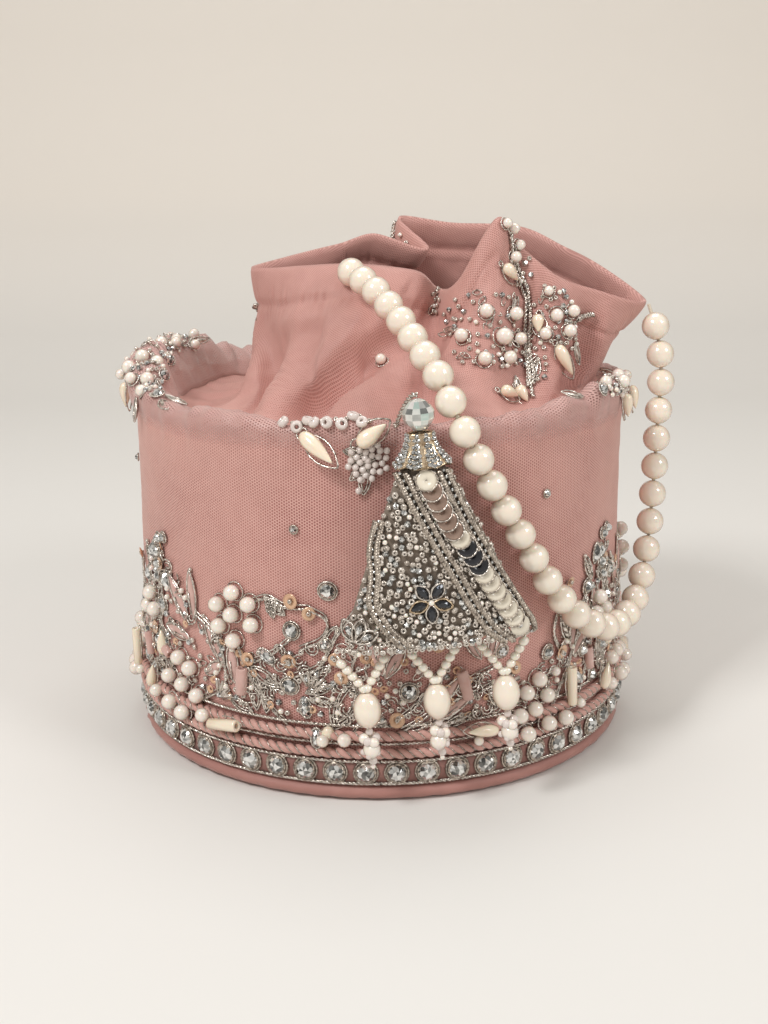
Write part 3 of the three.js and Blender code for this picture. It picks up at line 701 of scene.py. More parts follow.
def makeCloth(look):
    # The wall runs over the rim, and the collar starts just inside, tucked under it
    cut = look["wallRows"] + int(look["tuck"] * look["rows"])
    keep = list(range(0, 48, 2)) + list(range(48, cut + 1))
    rows = outerCloth[:cut + 1]
    inner = rows - wall["cloth"] * clothOut[:cut + 1]
    u = np.broadcast_to(azimuths / 360 * fullTurn * wall["radius"], run.shape)
    closeU = np.minimum(u, fullTurn * wall["radius"] - u)
    uv = np.stack([closeU, run], -1)
    keepInner = list(range(0, cut + 1, 6)) + [cut]
    sheet = np.concatenate([rows[keep], inner[keepInner][::-1]])
    heap = newHeap()
    heap["points"] = [sheet.reshape(-1, 3)]
    heap["quads"] = [gridFaces(len(sheet), look["around"], wrapRows=True)]
    wallPiece = addPiece("wallCloth", heap, "netSatin", inPlaceOf=["wall_fabric"],
                         uv=np.concatenate([uv[keep], uv[keepInner][::-1]]).reshape(-1, 2))
    first = cut - 3
    rows = outerCloth[first:].copy()
    rows[:3] -= 0.5 * clothOut[first:first + 3]
    thick = wall["cloth"] * np.ones_like(run[first:])
    hemPart = np.clip(1 - ((fromHem[first:] - 4.5) / 4.5) ** 2, 0, 1)
    inner = rows - (thick + 1.4 * np.sqrt(hemPart))[..., None] * clothOut[first:]
    keepInner = list(range(0, len(rows) - 18, 6)) + list(range(len(rows) - 18, len(rows)))
    sheet = np.concatenate([rows, inner[keepInner][::-1]])
    heap = newHeap()
    heap["points"] = [sheet.reshape(-1, 3)]
    heap["quads"] = [gridFaces(len(sheet), look["around"], wrapRows=True)]
    collarPiece = addPiece("collarCloth", heap, "collarSatin", inPlaceOf=["collar"],
                           uv=np.concatenate([uv[first:], uv[first:][keepInner][::-1]])
                           .reshape(-1, 2))
    return wallPiece, collarPiece


wallPiece, collarPiece = makeCloth(collar)
print("cloth made")


# Spots on the cloth: a matrix and a place, as pile() wants them
def clothRow(height):
    return (height - wall["foot"]) / (wall["rim"] - wall["foot"]) * collar["wallRows"]


def collarRow(level):
    return collar["wallRows"] + level * (collar["rows"] - 1)


def onGrid(grid, azimuth, row):
    column = np.mod(azimuth, 360) / 360 * collar["around"]
    j, i = np.floor(column).astype(int), np.clip(np.floor(row).astype(int), 0, len(grid) - 2)
    fj, fi = (column - j)[..., None], (row - i)[..., None]
    j, k = j % collar["around"], (j + 1) % collar["around"]
    return ((grid[i, j] * (1 - fj) + grid[i, k] * fj) * (1 - fi)
            + (grid[i + 1, j] * (1 - fj) + grid[i + 1, k] * fj) * fi)


def onCloth(azimuth, row, lift=0.0, turn=0.0, tip=0.0):
    azimuth, row = np.float64(azimuth), np.float64(row)
    out = unit(onGrid(clothOut, azimuth, row))
    up = onGrid(outerCloth, azimuth, row + 0.5) - onGrid(outerCloth, azimuth, row - 0.5)
    side = unit(np.cross(up, out))
    basis = np.stack([side, np.cross(out, side), out], 1) @ spin("Z", turn) @ spin("X", tip)
    return basis, onGrid(outerCloth, azimuth, row) + lift * out


def onWall(azimuth, height, lift=0.0, turn=0.0, tip=0.0):
    return onCloth(azimuth, clothRow(height), lift, turn, tip)


def clothLine(stops, lift=0.6, step=0.9, rows=clothRow):
    # Smooth line over the cloth through (azimuth, height or level) stops
    stops = np.array(stops, float)
    fine = smoothLine(stops, 12 * len(stops)) if len(stops) > 2 else \
        stops[0] + (stops[1] - stops[0]) * np.linspace(0, 1, 12)[:, None]
    places = onGrid(outerCloth, fine[:, 0], rows(fine[:, 1]))
    count = max(4, int(lineLength(places) / step))
    along = np.concatenate([[0], np.cumsum(np.linalg.norm(np.diff(places, axis=0), axis=1))])
    even = np.linspace(0, along[-1], count)
    line = np.stack([np.interp(even, along, fine[:, n]) for n in (0, 1)], 1)
    where = rows(line[:, 1])
    return onGrid(outerCloth, line[:, 0], where) + lift * unit(onGrid(clothOut, line[:, 0], where))


# Beads and sewn shapes, each standing up along Z from the cloth
def brilliant(radius, height, skirt=0.6):
    eighth = fullTurn / 8
    table = [(0.5 * radius * math.cos(eighth * i), 0.5 * radius * math.sin(eighth * i), height)
             for i in range(8)]
    crown = [(0.8 * radius * math.cos(eighth * (i + 0.5)),
              0.8 * radius * math.sin(eighth * (i + 0.5)), 0.62 * height) for i in range(8)]
    girdle = [(radius * math.cos(eighth * i / 2), radius * math.sin(eighth * i / 2),
               0.15 * height) for i in range(16)]
    foot = [(x, y, -skirt) for x, y, _ in girdle]
    points = [*table, *crown, *girdle, *foot, (0, 0, height), (0, 0, -skirt)]
    quads, tris = [], []
    for i in range(8):
        k = (i + 1) % 8
        tris += [(48, i, k), (i, 8 + i, k), (8 + i, 16 + 2 * i, 17 + 2 * i),
                 (8 + i, 17 + 2 * i, 16 + 2 * k)]
        quads.append((k, 8 + i, 16 + 2 * k, 8 + k))
    for i in range(16):
        k = (i + 1) % 16
        quads.append((32 + i, 32 + k, 16 + k, 16 + i))
        tris.append((49, 32 + k, 32 + i))
    return np.array(points), np.array(quads), np.array(tris)


def wireRing(radius, wire, lobes=0, sides=6, height=0.0):
    count = max(20, lobes * 3)
    angle = fullTurn * np.arange(count) / count
    thick = wire * (1 + (0.28 * np.cos(lobes * angle) if lobes else 0 * angle))
    path = np.stack([radius * np.cos(angle), radius * np.sin(angle), 0 * angle + height], 1)
    return tube(path, thick, sides, closed=True)


def petal(length, width, height, rows=9, sides=10):
    # Pointed leaf lying along Y from its foot
    share = np.linspace(0, 1, rows)
    wide = width / 2 * np.sin(math.pi * np.clip(share, 0.03, 0.97)) ** 0.75
    angle = fullTurn * np.arange(sides) / sides
    rings = np.stack([wide[:, None] * np.cos(angle), np.broadcast_to(
        (length * share)[:, None], (rows, sides)),
        height * (0.35 + 0.65 * np.sin(math.pi * share))[:, None] * np.sin(angle)], -1)
    points = np.concatenate([rings.reshape(-1, 3), rings[0].mean(0)[None],
                             rings[-1].mean(0)[None]])
    quads = gridFaces(rows, sides)[:, ::-1]
    a = np.arange(sides)
    b, last = (a + 1) % sides, (rows - 1) * sides
    tris = np.concatenate([np.stack([np.full(sides, rows * sides), a, b], -1),
                           np.stack([np.full(sides, rows * sides + 1), last + b, last + a], -1)])
    return points, quads, tris


def petalEdge(length, width, wire, height=0.3, inset=0.0):
    angle = fullTurn * np.arange(18) / 18
    share = 0.5 - 0.5 * np.cos(angle)
    side = np.sign(np.sin(angle)) * (width / 2 - inset) * np.sin(math.pi * share) ** 0.8
    path = np.stack([side, inset + (length - 2 * inset) * share, 0 * angle + height], 1)
    return tube(path, wire * (1 + 0.2 * np.cos(9 * angle)), 4, closed=True)


def bugle(length, radius, sides=14):
    # Tube bead lying along Y, hollow at its ends
    bore = 0.45 * radius
    shape = lathe([(radius * 0.9, 0), (radius, 0.25), (radius, length - 0.25),
                   (radius * 0.9, length), (bore, length), (bore, length - 1.0),
                   (bore * 0.5, length / 2), (bore, 1.0), (bore, 0)], sides, loop=True)
    return reshaped(shape, spin("X", -90), move=(0, 0, 0.8 * radius))


def teardrop(length, radius, sides=14):
    share = np.linspace(0, 1, 14)
    wide = radius * np.sin(math.pi * share ** 0.62) ** 0.8
    wide[0] = wide[-1] = 0
    shape = lathe(list(zip(wide, length * share)), sides)
    return reshaped(shape, spin("X", -90), move=(0, 0, 0.8 * radius))


def sequin(radius, cup=0.5, hole=0.42, thick=0.16, sides=14):
    return lathe([(hole, 0), (0.55 * radius, 0.35 * cup), (radius, cup),
                  (radius, cup + thick), (0.55 * radius, 0.35 * cup + thick), (hole, thick)],
                 sides, loop=True)


def seedBead(radius, sides=6):
    # Short ring bead standing on its hole
    bore = 0.36 * radius
    return lathe([(bore, 0), (0.8 * radius, 0.05 * radius), (radius, 0.55 * radius),
                  (0.8 * radius, 1.05 * radius), (bore, 1.1 * radius)], sides, loop=True)


# Foot of the pouch: rolled edge, ribbon of crystals, wire lines and twisted ropes
foot = {"roll": [(0, 0), (60, 0), (78.5, 0.05), (81.4, 0.5), (82.8, 1.5), (83.3, 2.7),
                 (82.9, 3.9), (81.8, 4.7), (80.6, 4.9), (80.1, 4.3), (80.1, 1.3), (0, 1.3)],
        "pucker": 0.22, "ribbon": (81.45, 82.35, 5.35, 13.6), "stones": 56,
        "stoneRadius": 2.85, "settingRadius": 3.55, "stoneHeight": 9.5,
        "wires": (5.95, 13.1, 18.5, 24.2), "ropes": (15.75, 21.4), "ropeRadius": 1.6,
        "ropePitch": 6.2, "ringSteps": 900}


def ring(radius, height, count):
    return around(360 * np.arange(count) / count, radius, height)


def makeFoot(look):
    shape = lathe(look["roll"], 360)
    points = shape[0]
    radius = np.hypot(points[:, 0], points[:, 1])
    u = np.arctan2(points[:, 0], -points[:, 1]) / fullTurn
    push = look["pucker"] * softNoise(u, points[:, 2] / 9, 21, 30, 95) * (radius > 80.3)
    points[:, :2] *= (1 + push / np.maximum(radius, 1))[:, None]
    heap = newHeap()
    pile(heap, shape)
    addPiece("rolledEdge", heap, "roll", inPlaceOf=["base_cover"])

    inner, outer, low, high = look["ribbon"]
    heap = newHeap()
    pile(heap, lathe([(inner, low), (outer, low + 0.2), (outer, high - 0.2), (inner, high)],
                     240, loop=True))
    addPiece("crystalRibbon", heap, "ribbon", inPlaceOf=["stone_band"])
    stones, settings = newHeap(), newHeap()
    spots = []
    for i in range(look["stones"]):
        azimuth = 360 * (i + 0.5) / look["stones"]
        out = around(azimuth, 1.0, 0.0)
        side = np.array([-out[1], out[0], 0])
        basis = np.stack([side, (0, 0, 1), out], 1) @ spin("Z", dice.uniform(0, 45)) \
            @ spin("X", dice.uniform(-4, 4)) @ spin("Y", dice.uniform(-4, 4))
        spots.append((basis, around(azimuth, outer, look["stoneHeight"])))
    pile(stones, reshaped(brilliant(look["stoneRadius"], 1.7), move=(0, 0, 0.7)), spots)
    pile(settings, wireRing(look["stoneRadius"] + 0.1, 0.36, 0, 6, 0.75), spots)
    pile(settings, wireRing(look["settingRadius"], 0.42, 22, 4, 0.35), spots)
    claw = ball(0.42, 5, 3)
    for k in range(8):
        angle = fullTurn * k / 8
        at = (look["stoneRadius"] * math.cos(angle), look["stoneRadius"] * math.sin(angle), 1.15)
        pile(settings, reshaped(claw, move=at), spots)
    addPiece("crystalStones", stones, "stone", flat=True)
    addPiece("crystalSettings", settings, "antique")

    wires = newHeap()
    for height in look["wires"]:
        radius = (outer + 0.35) if height < 14 else wall["radius"] + 0.95
        path = ring(radius, height, look["ringSteps"])
        for ply in plait(path, 0.3, 0.36, 2.8, 2, 4, closed=True):
            pile(wires, ply)
    addPiece("footWires", wires, "silver")
    for name, node, height in zip(("lowerRope", "upperRope"), ("lower_rope", "upper_rope"),
                                  look["ropes"]):
        rope, fleck = newHeap(), newHeap()
        path = ring(wall["radius"] + 0.35 + look["ropeRadius"], height, look["ringSteps"])
        for ply in plait(path, 0.68, 0.98, look["ropePitch"], 2, 6, closed=True):
            pile(rope, ply)
        for ply in plait(path, 1.15, 0.24, look["ropePitch"], 2, 3, closed=True,
                         start=math.pi / 2):
            pile(fleck, ply)
        addPiece(name, rope, "rope", inPlaceOf=[node])
        addPiece(name + "Fleck", fleck, "silver")


makeFoot(foot)
print("foot made")

# Beadwork on the wall. One repeat is given by azimuth and height, and it is sewn
# three times round the pouch.
motif = {
    "repeats": (0, 120, 240),
    "pearls": [(-32.0, 62.6), (-36.3, 57.8), (-28.1, 59.8), (-32.4, 55.5), (-35.9, 51.1),
               (-27.5, 53.4), (-32.1, 47.3), (-50.2, 35.5), (-46.0, 33.6), (-49.0, 27.0),
               (-43.8, 25.3), (-51.8, 20.6), (-46.9, 19.3), (-54.6, 27.5), (35.6, 33.1),
               (32.3, 29.7), (38.0, 27.0), (34.3, 24.0), (30.2, 23.3), (37.1, 18.7),
               (31.7, 17.3), (57, 52), (59.5, 47.5), (55.4, 47.2)],
    "pearlRadius": 2.55,
    "clearBalls": [(-40.3, 20.9, 2.3), (42.2, 18.6, 2.6), (40.9, 33.5, 1.6),
                   (47.5, 21.0, 1.7), (-58.6, 21, 2.2), (-11.6, 20.2, 2.0),
                   (-7.2, 21.1, 2.2), (20, 18.6, 1.6)],
    "stones": [(-10.7, 66.1, 2.9), (-18.6, 52.9, 2.8), (-19.4, 35.4, 3.0), (-11.3, 49.4, 2.1),
               (5.9, 34.6, 2.9), (39.0, 40.3, 2.5), (52.9, 56.7, 2.8), (51.2, 36.4, 2.3),
               (-57.5, 50.5, 2.6), (-60.2, 58.5, 2.1), (-61.2, 66.5, 2.4), (59.4, 62.5, 2.3),
               (-60.5, 37.5, 2.4), (55.6, 26.0, 2.4), (-56.8, 72.5, 1.8), (61.0, 34.5, 2.6),
               (47.7, 46.5, 1.9), (-2.6, 55.5, 2.2), (26.4, 44.5, 2.2), (60.5, 71.5, 1.9)],
    "navettes": [(-16.1, 28.6, 10), (-13.2, 20.4, 0), (-24.5, 43.8, 60), (49.6, 27.4, 20),
                 (-55.9, 58.6, 20), (56.8, 66.3, -15)],
    "sequins": [(-18.5, 62.2, 2.4), (-14.7, 58.8, 2.1), (-29.0, 42.0, 2.2),
                (-19.3, 43.6, 2.4), (-8.1, 39.3, 2.3), (-9.4, 45.2, 2.0), (-58.8, 63.0, 2.2),
                (43.1, 39.1, 2.3), (45.4, 61.0, 1.8), (3.3, 26.1, 2.4), (-3, 46, 2.1),
                (12, 49, 2.2), (29.5, 38.5, 2.1), (57.9, 40.6, 2.2), (21.5, 52, 1.9)],
    "bugles": [(-38.2, 18.9, -80, 11.5, 1.9, "shell"), (44.8, 21.6, 2, 12.5, 1.6, "shell"),
               (-30.7, 30.6, -4, 8.5, 1.9, "pinkGlass"), (18.4, 31.5, 14, 9.5, 1.8, "pinkGlass"),
               (-54.4, 34.5, 70, 6, 1.5, "pinkGlass"), (53.8, 29.5, 10, 7.5, 1.5, "pinkGlass"),
               (-4.5, 27.0, -35, 7.5, 1.4, "pinkGlass")],
    "drops": [(24.5, 20.9, 82, 11.5, 1.9, "shell"), (-57.2, 33.2, 8, 8.5, 1.9, "shell"),
              (-10.2, 24.0, 150, 7.5, 1.8, "shell"), (57.6, 20.5, -20, 9, 1.8, "shell")],
    # Leaves: foot azimuth and height, turn, length, width, and whether it is filled
    "leaves": [(-46.6, 47.3, 36, 18, 5.2, 1), (-44.7, 50.2, 4, 15.5, 4.2, 1),
               (-36.0, 37.0, 28, 17, 4.6, 1), (-46.9, 42.6, 82, 12.5, 4.6, 1),
               (-33.0, 33.0, 6, 13, 4.6, 1), (-22.0, 34.4, 58, 10.5, 4.4, 0),
               (-27.6, 25.5, 2, 12, 4.4, 0), (-25.3, 25.1, -6, 12.5, 4.2, 0),
               (-28.5, 24.2, 66, 9, 3.6, 0), (-20.0, 57.5, 52, 8, 3.6, 2),
               (-22.6, 56.2, 18, 6, 3.0, 2), (-41.5, 33.0, -52, 9, 4.0, 1),
               (-10.0, 22.5, -26, 22, 10.5, 0), (-9.6, 23.4, -25, 17, 6.6, 0),
               (-16.0, 33.5, -70, 9, 3.2, 2), (-15.8, 36.2, -48, 10, 3.4, 2),
               (-15.2, 31.6, -96, 9, 3.2, 2), (-8.8, 55.5, 150, 8, 3.2, 0),
               (10.4, 27.5, -40, 15, 3.4, 1), (11.6, 25.0, -56, 14, 3.2, 1),
               (9.5, 30.0, -22, 13, 3.4, 2), (12.5, 22.8, -72, 12, 2.8, 2),
               (47.0, 38.0, -10, 13, 4.2, 1), (47.6, 36.0, -42, 11, 4.0, 1),
               (46.6, 40.0, 24, 12, 4.0, 2), (53.5, 39.0, 4, 14, 4.6, 1),
               (60.0, 43.0, -14, 14, 4.6, 2), (-62.5, 43.0, 12, 14, 4.6, 1),
               (0.5, 40.0, 18, 13, 4.4, 1), (1.0, 39.0, -30, 12, 4.0, 1),
               (21.5, 43.0, 30, 11, 3.8, 1), (23.5, 42.0, -16, 12, 4.0, 1),
               (-3.0, 34.0, 58, 9, 3.4, 2), (27.0, 26.0, 38, 9, 3.4, 2),
               (-60.5, 26.0, -12, 9, 3.6, 2), (55.0, 58.5, 30, 10, 3.6, 2)],
    # Wire stems through azimuth and height stops
    "stems": [[(-43, 24), (-36, 31), (-38, 46), (-44, 52)], [(-32, 46), (-29, 36), (-24, 27),
              (-20, 22)], [(-28, 60), (-24, 62), (-20, 60), (-14.5, 60)],
              [(-15, 60), (-11, 57), (-12, 51), (-17, 47)], [(-19, 38), (-13, 42), (-9, 52),
              (-5, 60)], [(-19, 50), (-23, 45), (-28, 41)], [(4, 22), (10, 27), (18, 36),
              (25, 40)], [(6, 22), (14, 26), (22, 33), (28, 35)], [(2, 24), (8, 31), (14, 42),
              (16, 51)], [(40, 20), (46, 34), (49, 46), (53, 56)], [(44, 36), (41, 46),
              (45, 60)], [(-60, 20), (-57, 34), (-60, 50), (-58, 68)], [(50, 22), (54, 34),
              (57, 48), (58, 66)], [(-6, 21), (-3, 30), (-6, 40), (-4, 50)]],
    "bars": [(-15.0, 34.5, 5), (-3.0, 24.0, 4), (26.5, 33.0, 4), (51.5, 44.0, 5),
             (-38.0, 26.5, 4), (-61.0, 30.5, 5)],
    "plain": [(-17.7, 83.8), (37.4, 90.8)], "fill": {"count": 960, "seed": 5}}


def borderTop(azimuth):
    # Height that the dense beadwork reaches, within one repeat
    turned = (azimuth + 60) % 120 - 60
    return np.interp(turned, [-60, -54, -44, -32, -22, -10, 0, 12, 24, 36, 48, 60],
                     [74, 66, 52, 44, 46, 52, 46, 44, 36, 34, 46, 74])


def overRope(height):
    # Beads sewn low on the wall stand out over the upper rope
    return 0.3 + 2.5 * float(np.clip((25.0 - height) / 3.5, 0, 1))


def makeBeadwork(look):
    heaps = {key: newHeap() for key in ("bead", "silver", "stone", "peach", "shell",
                                        "pinkGlass", "clearSeed", "antique")}
    pearl = reshaped(ball(look["pearlRadius"], 12, 8), move=(0, 0, 0.8 * look["pearlRadius"]))
    seed, tiny = seedBead(1.0), ball(0.75, 7, 5)
    for shift in look["repeats"]:
        def spots(rows):
            return [onWall(row[0] + shift, row[1], overRope(row[1]),
                           row[2] if len(row) > 2 else dice.uniform(0, 360)) for row in rows]
        centres = spots([row[:2] for row in look["pearls"]])
        pile(heaps["bead"], pearl, centres)
        pile(heaps["silver"], wireRing(look["pearlRadius"] + 0.35, 0.26, 12, 4, 0.2), centres)
        for azimuth, height, radius in look["clearBalls"]:
            pile(heaps["bead"], reshaped(ball(radius, 12, 8), move=(0, 0, 0.8 * radius)),
                 spots([(azimuth, height)]))
        for azimuth, height, radius in look["stones"]:
            spot = [onWall(azimuth + shift, height, 0.3, dice.uniform(0, 45),
                           dice.uniform(-8, 8))]
            pile(heaps["stone"], reshaped(brilliant(0.78 * radius, 1.3), move=(0, 0, 0.7)), spot)
            pile(heaps["antique"], wireRing(0.82 * radius, 0.3, 0, 5, 0.8), spot)
            pile(heaps["silver"], wireRing(radius, 0.34, 13, 4, 0.35), spot)
        for azimuth, height, turn in look["navettes"]:
            spot = [onWall(azimuth + shift, height, overRope(height), turn)]
            stone = reshaped(brilliant(1.6, 1.5), scale=(1, 1.75, 1), move=(0, 0, 0.5))
            pile(heaps["stone"], stone, spot)
            pile(heaps["silver"], reshaped(wireRing(1.9, 0.3, 16, 4, 0.4),
                                           scale=(1, 1.7, 1)), spot)
        for azimuth, height, radius in look["sequins"]:
            spot = [onWall(azimuth + shift, height, 0.9, dice.uniform(0, 360),
                           dice.uniform(-16, 16))]
            pile(heaps["peach"], sequin(radius), spot)
            pile(heaps["clearSeed"], reshaped(seed, scale=(0.8, 0.8, 0.8),
                                              move=(0, 0, 0.3)), spot)
        for kind, maker in (("bugles", bugle), ("drops", teardrop)):
            for azimuth, height, turn, length, radius, finish in look[kind]:
                spot = [onWall(azimuth + shift, height, overRope(height), turn)]
                pile(heaps[finish], maker(length, radius), spot)
                pile(heaps["silver"], petalEdge(length + 0.8, 2.6 * radius, 0.25, 0.25), spot)
        for azimuth, height, turn, length, width, filled in look["leaves"]:
            spot = [onWall(azimuth + shift, height, 0.35, turn)]
            if filled == 1:
                pile(heaps["pinkGlass"], petal(0.94 * length, 0.8 * width, 1.2), spot)
            if filled == 2:
                pile(heaps["silver"], petal(0.9 * length, 0.55 * width, 0.9), spot)
                for share in (0.25, 0.45, 0.65, 0.82):
                    for hand in (-1, 1):
                        vein = np.array([(0, share * length - 1, 1.1),
                                         (hand * width * 0.36, share * length + 0.5, 0.6)])
                        pile(heaps["silver"], tube(vein, 0.24, 4), spot)
            pile(heaps["silver"], petalEdge(length, width, 0.38), spot)
            if filled == 0:
                pile(heaps["silver"], petalEdge(length, width, 0.32, 0.3, 0.24 * width), spot)
            if filled == 1:
                vein = np.array([(0, 0.1 * length, 1.25), (0, 0.55 * length, 1.35)])
                pile(heaps["silver"], tube(vein, 0.26, 4), spot)
            pile(heaps["clearSeed"], tiny, [onWall(
                azimuth + shift - math.sin(math.radians(turn)) * length / 1.42,
                height + math.cos(math.radians(turn)) * length, 0.6)])
        for stem in look["stems"]:
            path = clothLine([(a + shift, z) for a, z in stem], 0.75, 1.0)
            for ply in plait(path, 0.34, 0.38, 2.6, 2, 4):
                pile(heaps["silver"], ply)
            pile(heaps["silver"], tube(path + (0, 0, 1.3), 0.3, 4))
        for azimuth, height, count in look["bars"]:
            for n in range(count):
                turn = -70 + 24 * n
                spot = [onWall(azimuth + shift, height, 0.5, turn)]
                bar = np.array([(0, 1.6, 0.2), (0, 6.4, 0.5)])
                pile(heaps["clearSeed"], tube(bar, 0.55, 6), spot)
                pile(heaps["silver"], tube(bar + (0.9, 0, 0), 0.22, 4), spot)
    rolls = np.random.default_rng(look["fill"]["seed"])
    big = np.array([((a + shift) % 360 * 1.42, z, 3.1) for shift in look["repeats"]
                    for a, z in look["pearls"] + [row[:2] for row in look["stones"]]])
    taken = np.zeros((0, 2))
    for _ in range(look["fill"]["count"] * 6):
        azimuth = rolls.uniform(0, 360)
        height = 26 + (borderTop(azimuth) - 26) * rolls.random() ** 1.15
        spot = np.array([azimuth * 1.42, height])
        if len(taken) and np.min(np.sum((taken - spot) ** 2, 1)) < 4.4 or \
                np.any(np.hypot(big[:, 0] - spot[0], big[:, 1] - spot[1]) < big[:, 2]):
            continue
        taken = np.concatenate([taken, spot[None]])
        kind = rolls.random()
        place = [onWall(azimuth, height, 0.3, rolls.uniform(0, 360), rolls.uniform(-30, 30))]
        if kind < 0.2:
            curl = fullTurn * np.linspace(0, 0.8, 9)
            path = np.stack([2.1 * np.cos(curl), 2.1 * np.sin(curl), 0.5 + 0 * curl], 1)
            pile(heaps["silver"], tube(path, 0.36, 4), place)
            pile(heaps["silver"], tube(path * (0.5, 0.5, 1), 0.32, 4), place)
        elif kind < 0.48:
            pile(heaps["clearSeed"], seed, place)
        elif kind < 0.62:
            pile(heaps["stone"], reshaped(brilliant(1.05, 0.8, 0.4), move=(0, 0, 0.4)), place)
        elif kind < 0.72:
            pile(heaps["bead"], reshaped(ball(1.0, 8, 6), move=(0, 0, 0.8)), place)
        elif kind < 0.8:
            pile(heaps["peach"], reshaped(sequin(1.3, 0.3), move=(0, 0, 0.5)), place)
        else:
            pile(heaps["silver"], petalEdge(4.2, 1.8, 0.26), place)
        if len(taken) >= look["fill"]["count"]:
            break
    for shift in look["repeats"]:
        for n, (azimuth, height) in enumerate(look["plain"]):
            spot = [onWall(azimuth + shift, height, 0.2, 20 * n)]
            pile(heaps["stone"], reshaped(brilliant(1.1, 1.0, 0.4), move=(0, 0, 0.5)), spot)
            pile(heaps["antique"], wireRing(1.25, 0.26, 0, 5, 0.45), spot)
    addHeaps("wall", heaps, inPlaceOf=["embroidered_net"])


makeBeadwork(motif)
print("wall beadwork made")

# Net drawn over the rim. It stands up in soft puffs where the rim motifs are sewn.
puffs = {"low": 106.0, "inside": 0.15, "run": 24.3, "rows": 18, "cloth": 0.14,
         "mounds": [(-82, 20, 6.5), (-112, 22, 10.5), (58, 22, 4.2), (-8, 14, 1.6), (150, 26, 6.0),
                    (-150, 20, 3.0), (100, 14, 2.2), (-38, 14, 1.8)]}


def makePuffGrid(look):
    low, high = clothRow(look["low"]), collarRow(look["inside"])
    rows = np.linspace(low, high, look["rows"])
    share = np.linspace(0, 1, look["rows"])[:, None]
    base = np.stack([onGrid(outerCloth, azimuths, np.full(len(azimuths), r)) for r in rows])
    out = np.stack([unit(onGrid(clothOut, azimuths, np.full(len(azimuths), r))) for r in rows])
    rise = np.zeros(len(azimuths))
    for middle, wide, high in look["mounds"]:
        away = (azimuths - middle + 180) % 360 - 180
        rise = rise + high * np.exp(-(away / wide) ** 2)
    u = (azimuths / 360)[None]
    bow = np.sin(math.pi * share ** 0.85) ** 1.1
    ripple = 1 + 0.22 * softNoise(u, share * 0.4, 15, 14, 34, ratio=0.05) \
        + 0.12 * softNoise(u, share * 0.4, 16, 40, 90, ratio=0.05)
    lift = 0.25 + bow * ((0.7 + rise[None]) * ripple + 0.3 * softNoise(u, share, 17, 30, 60))
    push = 0.55 * out + np.array([0, 0, 0.75])
    return base + np.maximum(lift, 0.22)[..., None] * unit(push)


puffGrid = makePuffGrid(puffs)
puffOut = gridNormals(puffGrid)


def onPuff(azimuth, share, lift=0.0, turn=0.0, tip=0.0):
    azimuth, row = np.float64(azimuth), np.float64(share * (puffs["rows"] - 1))
    out = unit(onGrid(puffOut, azimuth, row))
    up = onGrid(puffGrid, azimuth, row + 0.4) - onGrid(puffGrid, azimuth, row - 0.4)
    side = unit(np.cross(up, out))
    basis = np.stack([side, np.cross(out, side), out], 1) @ spin("Z", turn) @ spin("X", tip)
    return basis, onGrid(puffGrid, azimuth, row) + lift * out


def makePuffs(look):
    inner = puffGrid - look["cloth"] * puffOut
    sheet = np.concatenate([puffGrid, inner[::-1]])
    step = np.linalg.norm(np.diff(puffGrid, axis=0), axis=2)
    along = np.concatenate([np.zeros((1, len(azimuths))), np.cumsum(step, 0)])
    u = np.broadcast_to(azimuths / 360 * fullTurn * wall["radius"], along.shape)
    uv = np.stack([np.minimum(u, fullTurn * wall["radius"] - u), along], -1)
    heap = newHeap()
    heap["points"] = [sheet.reshape(-1, 3)]
    heap["quads"] = [gridFaces(len(sheet), collar["around"], wrapRows=True)]
    piece = addPiece("rimNet", heap, "openNet",
                     uv=np.concatenate([uv, uv[::-1]]).reshape(-1, 2))


makePuffs(puffs)

